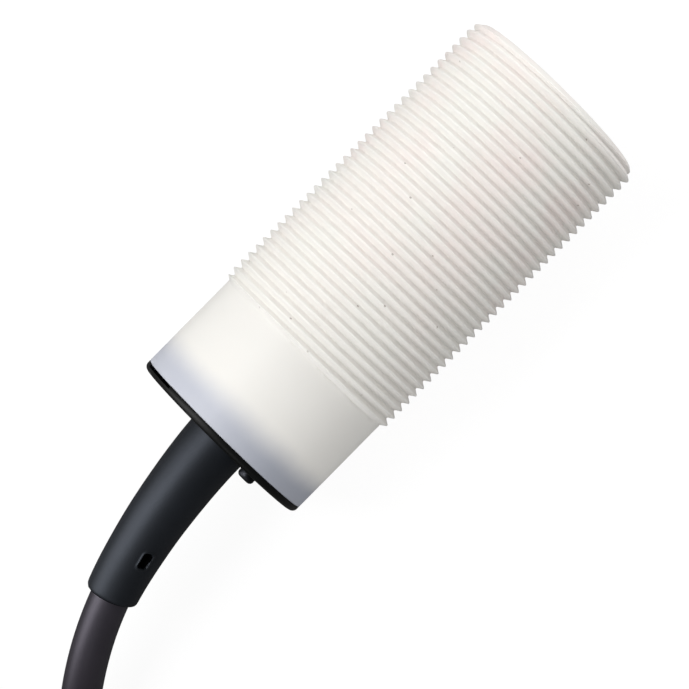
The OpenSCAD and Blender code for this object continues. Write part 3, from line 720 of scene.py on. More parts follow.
def thread_tree() -> bpy.types.NodeTree:
    """Build the tree that cuts a right-hand one-start thread into a blank turned about the X axis.

    Points of the blank above the shank's radius are cut. The inputs are the blank, the radii of
    the crests, the roots, the shank and the front edge, the pitch, the first groove's place at +Y,
    half the width of the flat root, the rounding of edges, the places where the chamfer and the
    run-out begin and where the run-out ends, and the material.

    Returns:
        The tree.
    """
    sizes = (
        "Crest", "Root", "Shank", "Front Edge", "First Groove", "Chamfer Start", "Run-out Start",
        "Run-out End", "Pitch", "Root Half", "Rounding",
    )
    inputs = {"Blank": Socket.GEOMETRY, **{size: Socket.FLOAT for size in sizes}}
    tree = new_tree("one_start_thread", {**inputs, "Material": Socket.MATERIAL})
    source = add_node(tree, "NodeGroupInput").outputs
    place = add_node(tree, "GeometryNodeInputPosition")
    axes = add_node(tree, "ShaderNodeSeparateXYZ", {0: place}).outputs
    known = {**{size: source[size] for size in sizes}, **dict(zip("xyz", axes))}
    # Radius that the chamfer and the run-out leave
    for name, terms in (
        ("chamfer", ("x", "Chamfer Start", 0.0, "Crest", "Front Edge")),
        ("run-out", ("x", "Run-out Start", "Run-out End", "Crest", "Shank")),
    ):
        inputs = {i: known.get(term, term) for i, term in enumerate(terms)}
        known[name] = add_node(tree, MAP_RANGE, inputs, clamp=False)
    # Each step gives its name to what its operation makes of the terms after it
    steps = (
        ("z squared", "MULTIPLY", "z", "z"),
        ("square", "MULTIPLY_ADD", "y", "y", "z squared"),
        ("before", "SQRT", "square"),
        # Laps from the first groove, less the share of a lap that this side of the barrel is ahead
        ("angle", "ARCTAN2", "z", "y"),
        ("share", "DIVIDE", "angle", 2 * math.pi),
        ("behind", "SUBTRACT", "x", "First Groove"),
        ("pitches", "DIVIDE", "behind", "Pitch"),
        ("laps", "SUBTRACT", "pitches", "share"),
        ("nearest", "ROUND", "laps"),
        ("past", "SUBTRACT", "laps", "nearest"),
        ("off", "ABSOLUTE", "past"),
        # Height above the root: flanks at 30 degrees, the corners of root and crest rounded
        ("away", "MULTIPLY", "off", "Pitch"),
        ("on flank", "SUBTRACT", "away", "Root Half"),
        ("flank", "DIVIDE", "on flank", math.tan(math.radians(30))),
        ("from root", "SMOOTH_MAX", "flank", 0.0, "Rounding"),
        ("deep", "SUBTRACT", "Crest", "Root"),
        ("to crest", "SMOOTH_MIN", "from root", "deep", "Rounding"),
        ("thread", "ADD", "Root", "to crest"),
        ("chamfered", "SMOOTH_MIN", "thread", "chamfer", "Rounding"),
        ("after", "SMOOTH_MIN", "chamfered", "run-out", "Rounding"),
        ("scale", "DIVIDE", "after", "before"),
        ("new y", "MULTIPLY", "y", "scale"),
        ("new z", "MULTIPLY", "z", "scale"),
        ("above shank", "ADD", "Shank", 0.1 * MM),
        ("threaded", "GREATER_THAN", "before", "above shank"),
    )
    for name, operation, *terms in steps:
        inputs = {i: known.get(term, term) for i, term in enumerate(terms)}
        known[name] = add_node(tree, MATH, inputs, operation=operation)
    inputs = {0: known["x"], 1: known["new y"], 2: known["new z"]}
    moved = add_node(tree, "ShaderNodeCombineXYZ", inputs)
    inputs = {"Geometry": source["Blank"], "Selection": known["threaded"], "Position": moved}
    end_tree(tree, add_node(tree, "GeometryNodeSetPosition", inputs), source["Material"])
    return tree


def run_tree(
    piece: bpy.types.Object, tree: bpy.types.NodeTree, values: dict[str, object]
) -> bpy.types.Object:
    """Run a node tree on a piece and turn the result to a plain mesh.

    Args:
        piece: The piece, which the tree takes as its geometry.
        tree: The geometry node tree.
        values: The tree's other inputs by name.

    Returns:
        The piece.
    """
    modifier = piece.modifiers.new(tree.name, "NODES")
    modifier.node_group = tree
    for item in tree.interface.items_tree:
        if item.in_out == "INPUT" and item.name in values:
            modifier[item.identifier] = values[item.name]
    return plain_mesh(piece)


def lines_piece(name: str, lines: Sequence[np.ndarray]) -> bpy.types.Object:
    """Make a piece of bare lines, which a node tree turns to tubes.

    Args:
        name: The piece's name.
        lines: Lines of points in millimetres.

    Returns:
        The piece.
    """
    mesh = bpy.data.meshes.new(name)
    ends = np.cumsum([0] + [len(line) for line in lines])
    pairs = [(i, i + 1) for a, b in zip(ends, ends[1:]) for i in range(a, b - 1)]
    mesh.from_pydata((np.vstack(lines) * MM).tolist(), pairs, [])
    piece = bpy.data.objects.new(name, mesh)
    bpy.context.scene.collection.objects.link(piece)
    return piece


# Camera, floor and light


@dataclass
class Studio:
    """Camera of the photograph, white floor and soft lamps.

    Attributes:
        camera_place: Where the camera is, in millimetres. It looks straight down.
        camera_right: Direction of the picture's right side.
        lens: Focal length in millimetres on a 36 mm sensor.
        floor_half: Half the floor's side in millimetres.
        paper: sRGB colour of the floor as it lights the pieces.
        paper_mirrored: The same as glossy surfaces mirror it.
        paper_seen: The same as the camera sees it, which takes the shadow.
        lift: Strength of the white that is added to what the camera sees.
        sky: Strength of the even light from all round.
        sky_mirrored: Strength of what glossy surfaces mirror of it: a dim room.
        aim: Where the lamps point, in millimetres.
    """

    camera_place: tuple[float, float, float] = (-47.0, -3.3, 460.0)
    camera_right: tuple[float, float] = (0.70253, -0.71166)
    lens: float = 166.22
    floor_half: float = 1500.0
    paper: str = "#dcdcdc"
    paper_mirrored: str = "#757575"
    paper_seen: str = "#707070"
    lift: float = 0.9
    sky: float = 0.48
    sky_mirrored: float = 0.12
    aim: tuple[float, float, float] = (-35.0, 0.0, 0.0)

    def camera(self) -> None:
        """Make the camera and use it."""
        data = bpy.data.cameras.new("camera")
        data.lens, data.sensor_width = self.lens, 36.0
        data.clip_start, data.clip_end = 0.01, 20
        made = bpy.data.objects.new("camera", data)
        bpy.context.scene.collection.objects.link(made)
        rx, ry = self.camera_right
        x, y, z = (v * MM for v in self.camera_place)
        made.matrix_world = Matrix(((rx, -ry, 0, x), (ry, rx, 0, y), (0, 0, 1, z), (0, 0, 0, 1)))
        bpy.context.scene.camera = made

    def by_ray(
        self,
        tree: bpy.types.NodeTree,
        lit: bpy.types.Node,
        mirrored: bpy.types.Node,
        seen: bpy.types.Node,
    ) -> bpy.types.Node:
        """Choose a shader by the kind of ray that meets it.

        Args:
            tree: The tree of the floor's material or of the world.
            lit: What lights the pieces.
            mirrored: What glossy surfaces mirror.
            seen: What the camera sees, also through clear pieces.

        Returns:
            The node that gives the chosen shader.
        """
        rays = add_node(tree, "ShaderNodeLightPath").outputs
        inputs = {0: rays["Is Camera Ray"], 1: rays["Is Transmission Ray"]}
        white = add_node(tree, MATH, inputs, operation="MAXIMUM")
        chosen = lit
        for share, other in ((rays["Is Glossy Ray"], mirrored), (white, seen)):
            chosen = add_node(tree, "ShaderNodeMixShader", {0: share, 1: chosen, 2: other})
        return chosen

    def floor(self) -> None:
        """Make the white floor, which keeps a faint shadow."""
        h = self.floor_half
        points = np.array([(-h, -h, FLOOR_Z), (h, -h, FLOOR_Z), (h, h, FLOOR_Z), (-h, h, FLOOR_Z)])
        made = mesh_piece("floor", points, [(0, 1, 2, 3)])
        paper = bpy.data.materials.new("white_paper")
        paper.use_nodes = True
        tree = paper.node_tree
        tree.nodes.clear()
        matt, dim, faint = (
            add_node(tree, "ShaderNodeBsdfDiffuse", {"Color": linear(colour)})
            for colour in (self.paper, self.paper_mirrored, self.paper_seen)
        )
        white = {"Color": linear("#ffffff"), "Strength": self.lift}
        lift = add_node(tree, "ShaderNodeEmission", white)
        seen = add_node(tree, "ShaderNodeAddShader", {0: faint, 1: lift})
        chosen = self.by_ray(tree, matt, dim, seen)
        add_node(tree, "ShaderNodeOutputMaterial", {"Surface": chosen})
        dress(made, paper)

    def world(self) -> None:
        """Even light from all round, which is white where the camera sees it."""
        made = bpy.data.worlds.new("studio")
        bpy.context.scene.world = made
        made.use_nodes = True
        tree = made.node_tree
        tree.nodes.clear()
        lit, mirrored, seen = (
            add_node(tree, "ShaderNodeBackground", {"Color": (1, 1, 1, 1), "Strength": strength})
            for strength in (self.sky, self.sky_mirrored, 1.0)
        )
        chosen = self.by_ray(tree, lit, mirrored, seen)
        add_node(tree, "ShaderNodeOutputWorld", {"Surface": chosen})

    def lamp(
        self,
        name: str,
        place: tuple[float, float, float],
        size: float,
        power: float,
        only_mirrored: bool = False,
    ) -> None:
        """Make a square lamp that points at the middle of the barrel.

        Args:
            name: The lamp's name.
            place: Where it is, in millimetres.
            size: Its side in millimetres.
            power: Its power in watts.
            only_mirrored: Whether it shows in glossy surfaces only and lights nothing.
        """
        data = bpy.data.lights.new(name, "AREA")
        data.size, data.energy = size * MM, power
        made = bpy.data.objects.new(name, data)
        bpy.context.scene.collection.objects.link(made)
        z = np.subtract(place, self.aim)
        z /= np.linalg.norm(z)
        x = np.cross([0, 0, 1.0], z)
        x /= np.linalg.norm(x)
        turn = np.eye(4)
        turn[:3] = np.stack([x, np.cross(z, x), z, np.array(place) * MM], -1)
        made.matrix_world = Matrix(turn.tolist())
        made.visible_diffuse = not only_mirrored

    def build(self) -> None:
        """Make the camera, the floor, the world and the lamps."""
        bpy.context.scene.view_settings.view_transform = "Standard"
        self.camera()
        self.floor()
        self.world()
        self.lamp("upper_left_softbox", (-335, 550, 780), 500, 5.0)
        self.lamp("rear_softbox", (-835, -250, 500), 500, 0.9)
        self.lamp("front_strip", (955, 0, 130), 250, 2.9)
        self.lamp("front_left_fill", (765, 500, 330), 400, 0.9)
        self.lamp("left_reflection", (-700, 700, 300), 900, 8.8, only_mirrored=True)


# Sub-assemblies


@dataclass
class Cable:
    """Cable from inside the housing through the coil to its stripped end.

    Attributes:
        diameter: Outside diameter of the jacket.
        lead: Its route from the jacket's inner end to the coil, from the cap's rear face.
        relief_last: Number of the route's point at the relief's mouth.
        coil_centre: Centre of the coil, from the cap's rear face.
        outer_r: Radius of the outer column's turns.
        inner_r: Radius of the inner column's turns.
        low: Height of a cable that lies on the floor.
        high: Height of the topmost turn.
        outer_turns: Turns wound up in the outer column.
        inner_turns: Turns wound down in the inner column.
        crossing: Angle in degrees over which the topmost turn crosses to the inner column.
        leave: Angle over which the last turn moves in, and the radius where it leaves.
        tail: Route of the free end inside the coil's hole, from the cap's rear face.
        step: Angle in degrees between two points of the coil.
        gap: Distance between two points of the finished line.
        sides: How many sides the jacket has.
        line: The finished centreline, which route gives.
    """

    diameter: float = 6.0
    lead: tuple = (
        (9.5, 0, 0), (4.5, 0, 0), (-0.5, -0.05, 0), (-5.5, -0.4, -0.1), (-10.5, -1, -0.3),
        (-15.5, -1.8, -0.8), (-20, -2.75, -1.4), (-24, -3.75, -2.1), (-27.2, -4.75, -2.8),
        (-30.5, -6, -3.7), (-34.5, -7.85, -5), (-37.5, -9.5, -6.1), (-40.5, -11.4, -7.2),
        (-44, -14, -8.5), (-47.5, -17, -9.8), (-51, -20.7, -11), (-54.5, -24.5, -12),
        (-58, -28.3, -12.6), (-61.6, -31.9, -12.9), (-65.1, -35.5, -13), (-68.6, -39.1, -13),
    )
    relief_last: int = 8
    coil_centre: tuple[float, float] = (-92.5, -17)
    outer_r: float = 32.5
    inner_r: float = 26.5
    low: float = -13.0
    high: float = 18.5
    outer_turns: float = 5.25
    inner_turns: float = 4.75
    crossing: float = 60.0
    leave: tuple[float, float] = (113.4, 22.2)
    tail: tuple = (
        (-110.4, -3.9, -13), (-106.7, -0.5, -13), (-102.3, 1.9, -13),
        (-97.4, 3.3, -13), (-92.5, 3.6, -13), (-88, 3, -13),
    )
    step: float = 9.0
    gap: float = 1.2
    sides: int = 32
    line: np.ndarray = field(default_factory=lambda: np.zeros((0, 3)))

    @property
    def centre(self) -> np.ndarray:
        """Centre of the coil in the row frame."""
        return behind_cap([(*self.coil_centre, 0)])[0]

    def winding(self, start: float) -> np.ndarray:
        """Points of the coil: up the outer column, across the top and down the inner column.

        Args:
            start: Angle in degrees at which the lead reaches the coil.

        Returns:
            Points in the row frame. The cable winds clockwise, seen from above.
        """
        turns = (self.outer_turns * 360, self.crossing, self.inner_turns * 360)
        up, across, down, out = (
            np.arange(1, round(total / self.step) + 1) * self.step
            for total in (*turns, self.leave[0] - self.step / 2)
        )
        across *= self.crossing / across[-1]
        top = start - up[-1]
        inward = top - self.crossing
        ease = (1 - np.cos(np.pi * across / self.crossing)) / 2
        rise, step_in = self.high - self.low, self.inner_r - self.outer_r
        move_in = (self.inner_r - self.leave[1]) * (out / self.leave[0]) ** 2
        points = []
        for angle, radius, height in (
            (start - up, self.outer_r, self.low + rise * up / up[-1]),
            (top - across, self.outer_r + step_in * ease, self.high),
            (inward - down, self.inner_r, self.high - rise * down / down[-1]),
            (inward - down[-1] - out, self.inner_r - move_in, self.low),
        ):
            swing = np.radians(angle)
            spot = [radius * np.cos(swing), radius * np.sin(swing), height + 0 * swing]
            points.append(self.centre + np.stack(spot, -1))
        return np.vstack(points)

    def route(self) -> np.ndarray:
        """Lay the jacket's whole centreline.

        Returns:
            Its points in the row frame, none of them lower than a cable that lies on the floor.
        """
        lead = behind_cap(self.lead)
        away = lead[-1] - self.centre
        start = math.degrees(math.atan2(away[1], away[0]))
        line = spline(np.vstack([lead, self.winding(start), behind_cap(self.tail)]), self.gap)
        line[:, 2] = np.maximum(line[:, 2], self.low)
        return line

    def build(self) -> bpy.types.Object:
        """Make the jacket.

        Returns:
            The jacket, dressed and riding on the sensor's body.
        """
        self.line = self.route()
        values = {"Radius": self.diameter / 2 * MM, "Sides": self.sides}
        values["Material"] = Finishes.JACKET.make()
        made = run_tree(lines_piece("cable_jacket_dressed", [self.line]), sweep_tree(), values)
        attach(made, "sensor")
        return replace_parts(made, "cable_lead", "cable_coil", "cable_tail")

    def declare(self) -> None:
        round(length_of(self.line) * MM, 3)


@dataclass
class StrainRelief:
    """Moulded relief: shoulder and neck in the cap, bent tapered tail, lip and locating holes.

    Attributes:
        root_r: Radius where the tail leaves the cap.
        tip_r: Radius at the mouth.
        neck_r: Radius of the neck in the cap.
        shoulder_r: Radius of the shoulder inside the cap.
        shoulder: Where the shoulder begins and ends, along X.
        flat: Height of the flat on the shoulder, in the board's frame.
        bore_r: Radius of the bore.
        lip_r: Radius of the mouth's rounded lip.
        mouth: Widening of the bore at the mouth, and its length.
        hole: Length, width and corner radius of a locating hole.
        hole_at: Place of the holes, from the cap's rear face.
        lean: Angle of the holes from straight up, towards -Y.
        turn: Angle of the holes' length from X.
        slant: Shift along the hole for each step across it.
        wall: Where a hole's wall begins outside its outline, and how wide it is seen from above.
        rim: Height of the raised rim round a hole, its distance from the outline and its width.
        parting: Height and half width of the mould's parting line.
        gaps: Distance between sections of the tail, and the same near the holes.
        near: How far from the holes' place the sections are close.
        lip_rows: How many sections the lip has.
        lip_back: How far the bore's widest section is inside the mouth.
        bore_gap: Distance between sections of the bore.
        dark_lip: Share of the lip's radius, from outside, where the mouth's painted shade begins.
        dark_hole: How far inside a hole's outline its painted shade begins.
        reach: How many of the cable's first points the relief lies over.
        step: Distance between the points of the line that it follows.
        sharp: Angle in degrees above which an edge stays sharp.
        sides: How many sides the relief has.
    """

    root_r: float = 5.0
    tip_r: float = 3.95
    neck_r: float = 4.3
    shoulder_r: float = 6.0
    shoulder: tuple[float, float] = (-66.9, -68.4)
    flat: float = 5.9
    bore_r: float = 3.06
    lip_r: float = 0.6
    mouth: tuple[float, float] = (0.35, 1.2)
    hole: tuple[float, float, float] = (2.4, 1.3, 0.35)
    hole_at: tuple[float, float, float] = (-20.3, -3.33, -1.52)
    lean: float = 23.0
    turn: float = 18.0
    slant: float = 0.15
    wall: tuple[float, float] = (0.03, 0.13)
    rim: tuple[float, float, float] = (0.15, 0.2, 0.14)
    parting: tuple[float, float] = (0.06, 0.14)
    gaps: tuple[float, float] = (0.4, 0.1)
    near: float = 2.4
    lip_rows: int = 7
    lip_back: float = 0.05
    bore_gap: float = 2.0
    dark_lip: float = 0.38
    dark_hole: float = 0.02
    reach: int = 90
    step: float = 0.1
    sharp: float = 40.0
    sides: int = 240

    def hole_axes(self) -> np.ndarray:
        """Directions of a locating hole's length, its width and its axis, as columns."""
        lean, turn = math.radians(self.lean), math.radians(self.turn)
        return np.array(Matrix.Rotation(turn, 3, "Z") @ Matrix.Rotation(lean, 3, "X"))

    def hole_distance(self, points: np.ndarray) -> np.ndarray:
        """Distance of points from a locating hole's outline, below 0 inside it.

        Args:
            points: Places in millimetres.

        Returns:
            The distances, seen along the holes' axis.
        """
        away = points - behind_cap([self.hole_at])[0]
        along, across = np.moveaxis(away @ self.hole_axes()[:, :2], -1, 0)
        length, width, corner = self.hole
        q = np.stack([np.abs(along + self.slant * across), np.abs(across)], -1)
        q = q - np.array([length / 2 - corner, width / 2 - corner])
        out = np.linalg.norm(np.maximum(q, 0), axis=-1)
        return out + np.minimum(q.max(axis=-1), 0) - corner

    def sections(self, total: float) -> list[tuple[float, float, bool]]:
        """Lay out the sections along the cable.

        Args:
            total: Distance from the cap's rear face to the mouth.

        Returns:
            The sections from the shoulder round the mouth and back through the bore, each as its
            distance behind the cap's rear face, its radius, and whether it is outside on the tail.
        """
        front, rear = (CAP_BACK - end for end in self.shoulder)
        rows = [(front, self.bore_r, False), (front, self.shoulder_r, False)]
        rows += [(rear, self.shoulder_r, False), (rear, self.neck_r, False)]
        rows += [(0, self.neck_r, False), (0, self.root_r, True)]
        hole, (gap, close) = math.dist(self.hole_at, (0, 0, 0)), self.gaps
        places = np.r_[
            np.arange(gap, hole - self.near, gap),
            np.arange(hole - self.near, hole + self.near, close),
            np.arange(hole + self.near, total - self.lip_r, gap),
        ]
        taper = (self.tip_r - self.root_r) / total
        rows += [(s, self.root_r + taper * s, True) for s in places.tolist()]
        for turn in np.linspace(0, math.pi / 2, self.lip_rows).tolist():
            back, inward = self.lip_r * (1 - math.sin(turn)), self.lip_r * (1 - math.cos(turn))
            rows.append((total - back, self.tip_r - inward, True))
        (wider, depth), gap = self.mouth, self.bore_gap
        rows.append((total - self.lip_back, self.bore_r + wider, False))
        inside = [total - depth, *np.arange(total - gap, 0, -gap).tolist(), front]
        return rows + [(s, self.bore_r, False) for s in inside]

    def relief_lift(
        self, points: np.ndarray, beside: np.ndarray, radius: np.ndarray
    ) -> np.ndarray:
        """Height of the tail's surface over its plain taper.

        Args:
            points: Places on the plain taper.
            beside: Their distance from the plane of the mould's parting line.
            radius: Their distance from the cable's middle.

        Returns:
            The heights, which are far below 0 in the locating holes.
        """
        edge, width = self.wall
        rim, rim_at, rim_width = self.rim
        line, line_width = self.parting
        gap = self.hole_distance(points)
        sink = np.clip((edge - gap) / width, 0, 1) * (radius - self.bore_r - edge)
        bulge = rim * np.exp(-(((gap - rim_at) / rim_width) ** 2)) * (edge - gap < width)
        return bulge + line * np.exp(-((beside / line_width) ** 2)) - sink

    def build(self, cable: Cable) -> bpy.types.Object:
        """Make the relief along the cable.

        Args:
            cable: The cable, whose line is settled.

        Returns:
            The relief, dressed and riding on the sensor's body.
        """
        line = spaced(cable.line[: self.reach], self.step)
        run = run_along(line)
        way = np.gradient(line, axis=0)
        way /= np.linalg.norm(way, axis=1)[:, None]
        start = np.interp(-CAP_BACK, -line[:, 0], run)
        mouth = behind_cap([cable.lead[cable.relief_last]])[0]
        rows = self.sections(run[np.linalg.norm(line - mouth, axis=1).argmin()] - start)
        behind, radius, outside = (np.array(column) for column in zip(*rows))
        radius, outside = radius[:, None], outside[:, None]
        centre, ahead = (at_runs(values, run, start + behind) for values in (line, way))
        ahead[behind <= 0] = (-1, 0, 0)
        centre[behind <= 0, 1:] = 0
        side = np.cross(ahead, (0, 0, 1))
        side /= np.linalg.norm(side, axis=1)[:, None]
        up = np.cross(side, ahead)
        turn = (np.arange(self.sides) * 2 * math.pi / self.sides)[None, :, None]
        out = np.cos(turn) * side[:, None] + np.sin(turn) * up[:, None]
        points = centre[:, None] + radius[..., None] * out
        lift = self.relief_lift(points, out @ self.hole_axes()[:, 2] * radius, radius)
        points += out * np.where(outside, lift, 0)[..., None]
        # The shoulder's flat lies against the board
        down = np.subtract(board_point(0, 0, 0), board_point(0, 1, 0))
        over = np.maximum(0, points @ -down - self.flat)
        over *= points[..., 0] > self.shoulder[1] - 0.01
        points += over[..., None] * down
        faces = ring_faces(len(rows), self.sides)
        made = mesh_piece("strain_relief_dressed", points.reshape(-1, 3), faces, self.sharp)
        dress(made, Finishes.RELIEF.make(), Finishes.PAINTED_SHADE.make())
        # Painted shade: the mouth from half-way round the lip, and the holes, turn near-black
        centres = face_centres(made)
        away = np.array([np.linalg.norm(line - place, axis=1).min() for place in centres])
        shaded_mouth = away < self.tip_r - self.lip_r * self.dark_lip
        paint_faces(made, shaded_mouth | (self.hole_distance(centres) < -self.dark_hole))
        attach(made, "sensor")
        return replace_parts(made, "strain_relief")


@dataclass
class Core:
    """One insulated core out of the jacket's end.

    Attributes:
        colour: Its finish.
        label: Its colour's name, as in the node's name.
        route: Its route, from the cap's rear face.
        diameter: Its outside diameter.
        inside: How far it reaches back into the jacket.
        beyond: How far it reaches into the ferrule, as a share of the route's last stretch.
        gap: Distance between two points of its line.
        sides: How many sides it has.
    """

    colour: Finishes
    label: str
    route: tuple
    diameter: float = 1.6
    inside: float = 1.5
    beyond: float = 0.05
    gap: float = 0.5
    sides: int = 20

    @property
    def points(self) -> np.ndarray:
        """The route in the row frame."""
        return behind_cap(self.route)

    def line(self) -> np.ndarray:
        """Lay the core's centreline.

        Returns:
            Its points, from inside the jacket to just inside the ferrule.
        """
        route = self.points
        end = route[-1] + (route[-1] - route[-2]) * self.beyond
        back = route[0] - np.array([self.inside, 0, 0])
        return spline(np.vstack([back, route, end]), self.gap)

    def end(self, length: float) -> np.ndarray:
        """Line of the ferrule on the core's end.

        Args:
            length: The ferrule's length.

        Returns:
            Two points, in line with the route's last stretch.
        """
        before, last = self.points[-2:]
        way = (last - before) / np.linalg.norm(last - before)
        return np.array([last, last + way * length])

    def build(self) -> bpy.types.Object:
        """Make the core.

        Returns:
            The core, dressed and riding on the sensor's body.
        """
        values = {"Radius": self.diameter / 2 * MM, "Sides": self.sides}
        values["Material"] = self.colour.make()
        line = lines_piece(f"tail_core_{self.label}_dressed", [self.line()])
        made = run_tree(line, sweep_tree(), values)
        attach(made, "sensor")
        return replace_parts(made, f"tail_core_{self.label}")


@dataclass
class TailEnd:
    """Stripped end of the cable: three cores with crimped ferrules.

    Attributes:
        ferrule_r: Radius of a ferrule.
        ferrule_len: Length of a ferrule.
        crimps: How many crimps a ferrule has.
        crimp_depth: How deep they are.
        rows: How many rings of points a ferrule has along its length.
        sides: How many sides a ferrule has.
    """

    ferrule_r: float = 0.65
    ferrule_len: float = 8.0
    crimps: float = 6.0
    crimp_depth: float = 0.09
    rows: int = 73
    sides: int = 20

    def cores(self) -> list[Core]:
        """Lay out the cores.

        Returns:
            The three cores with their routes.
        """
        brown = (
            (-87.7, 4, -13.3), (-83.6, 3.4, -14), (-79.6, 1.1, -14.8), (-77, -2.6, -15.2),
            (-76.1, -7, -15.2), (-76.9, -11.5, -15.2), (-78.7, -16, -15.2),
        )
        black = (
            (-87.7, 3, -11.9), (-84.5, 2.1, -13.1), (-81.4, -0.5, -14.75), (-79.8, -4, -15.2),
            (-80.1, -9, -15.2), (-81.7, -13, -15.2), (-84.3, -16.5, -15.2),
        )
        blue = (
            (-87.7, 1.9, -13.9), (-85.6, 0.9, -14.6), (-83.8, -1.5, -15.2), (-83.3, -4.8, -15.2),
            (-84.5, -8.5, -15.2), (-87, -12, -15.2), (-90.1, -15, -15.2),
        )
        return [
            Core(Finishes.BROWN, "brown", brown),
            Core(Finishes.BLACK, "black", black),
            Core(Finishes.BLUE, "blue", blue),
        ]

    def build(self) -> list[bpy.types.Object]:
        """Make the cores and their ferrules.

        Returns:
            The pieces, dressed and riding on the sensor's body.
        """
        cores = self.cores()
        values = {"Radius": self.ferrule_r * MM, "Crimps": self.crimps, "Sides": self.sides}
        values |= {"Depth": self.crimp_depth * MM, "Rows": self.rows}
        values["Material"] = Finishes.TINNED.make()
        lines = lines_piece("wire_ferrules_dressed", [core.end(self.ferrule_len) for core in cores])
        ferrules = run_tree(lines, crimp_tree(), values)
        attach(ferrules, "sensor")
        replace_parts(ferrules, "wire_ferrules")
        return [core.build() for core in cores] + [ferrules]


@dataclass
class Barrel:
    """White barrel: closed face, chamfer, one-start thread, run-out, shank and open rear end.

    Attributes:
        crest_r: Radius of the thread's crests.
        root_r: Radius of its roots.
        pitch: Pitch of the thread.
        first_groove: Where the first groove's centre is at +Y, along X.
        root_half: Half the width of the flat root.
        rounding: How far the edges of crests and roots are rounded.
        chamfer: Radial and axial size of the front chamfer.
        thread_end: Where the run-out begins and where it ends, along X.
        shank_r: Radius of the shank.
        bore_r: Radius of the bore.
        length: Length of the barrel.
        face: Thickness of the closed face.
        hold: How far from an edge the rows are that keep its shading crisp.
        front_hold: The same for the first row inside the front edge.
        shank_row: Place along X of one more row on the shank.
        face_rings: Radii of the rings on either side of the closed face.
        rear_edge: Size of the rear edge's chamfer, and how far from the edge the next rows are.
        sharp: Angle in degrees above which an edge stays sharp.
        sides: How many points there are round the barrel.
        phases: Places of the mesh's rows in a pitch, from the middle of a crest.
    """

    crest_r: float = 16.0
    root_r: float = 15.08
    pitch: float = 1.5
    first_groove: float = -1.51
    root_half: float = 0.125
    rounding: float = 0.45
    chamfer: tuple[float, float] = (1.3, 1.05)
    thread_end: tuple[float, float] = (-51.5, -52.0)
    shank_r: float = 15.1
    bore_r: float = 13.6
    length: float = 68.4
    face: float = 1.6
    hold: float = 0.4
    front_hold: float = 0.1
    shank_row: float = -60.0
    face_rings: tuple[float, float] = (8.0, 0.005)
    rear_edge: tuple[float, float] = (0.15, 0.35)
    sharp: float = 62.0
    sides: int = 192
    phases: tuple[float, ...] = (
        -0.15, -0.06, 0.06, 0.15, 0.35, 0.57, 0.66, 0.75, 0.84, 0.93, 1.15,
    )

    @property
    def front_r(self) -> float:
        """Radius of the front edge, inside the chamfer."""
        return self.crest_r - self.chamfer[0]

    def blank(self) -> tuple[np.ndarray, list[tuple[int, ...]]]:
        """Points and faces of the stretch that is threaded, whose rows follow the thread.

        Returns:
            The points and the faces. Rows past either end are pressed onto that end.
        """
        turn = np.arange(self.sides) * 2 * math.pi / self.sides
        crest = self.first_groove - self.pitch / 2
        laps = range(-3, int(self.length / self.pitch))
        starts = np.array([crest - lap * self.pitch - p for lap in laps for p in self.phases])
        starts = starts[starts > self.thread_end[1] - 2 * self.pitch]
        x = starts[:, None] + (turn / (2 * math.pi) * self.pitch)[None, :]
        for edge in (-self.chamfer[1], self.thread_end[0]):
            x[np.abs(x - edge).argmin(axis=0), np.arange(self.sides)] = edge
        x = np.clip(x, self.thread_end[1], 0)
        ends = [x >= 0, x <= self.thread_end[1]]
        radius = np.select(ends, [self.front_r, self.shank_r], self.crest_r)
        points = np.stack([x, radius * np.cos(turn), radius * np.sin(turn)], -1).reshape(-1, 3)
        faces, lap, n = [], len(self.phases), self.sides
        for i in range(len(starts) - 1):
            a, d = i * n, (i + 1) * n
            faces += [(a + k, a + k + 1, d + k + 1, d + k) for k in range(n - 1)]
            if i >= lap:
                faces.append((a + n - 1, a - lap * n, d - lap * n, d + n - 1))
        return points, faces

    def build(self) -> bpy.types.Object:
        """Make the barrel.

        Returns:
            The barrel, dressed and riding on the sensor's body.
        """
        points, faces = self.blank()
        front, end, back, inside = self.front_r, self.thread_end[1], -self.length, -self.face
        outside, bore, hold = self.shank_r, self.bore_r, self.hold
        chamfer, beside = self.rear_edge
        groups = [
            [
                (0, front), (0, front - self.front_hold), (0, front - hold),
                *[(0, ring) for ring in self.face_rings],
            ],
            [
                (end, outside), (end - hold, outside), (self.shank_row, outside),
                (back + beside, outside), (back + chamfer, outside), (back, outside - chamfer),
                (back, outside - beside), (back, bore), (back + hold, bore),
                (inside - hold, bore), (inside, bore),
                *[(inside, ring) for ring in self.face_rings],
            ],
        ]
        parts, count = [points], len(points)
        for group in groups:
            parts.append(turned(group, self.sides))
            faces += ring_faces(len(group), self.sides, count)
            count += len(parts[-1])
        made = mesh_piece("barrel_dressed", np.vstack(parts), faces, smooth=180, merge=1e-5)
        sizes = {
            "Crest": self.crest_r, "Root": self.root_r, "Shank": outside, "Front Edge": front,
            "First Groove": self.first_groove, "Chamfer Start": -self.chamfer[1],
            "Run-out Start": self.thread_end[0], "Run-out End": end,
            "Pitch": self.pitch, "Root Half": self.root_half, "Rounding": self.rounding,
        }
        values = {name: size * MM for name, size in sizes.items()}
        values["Material"] = Finishes.BARREL.make()
        run_tree(made, thread_tree(), values)
        made.data.set_sharp_from_angle(angle=math.radians(self.sharp))
        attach(made, "sensor")
        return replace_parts(made, "barrel")


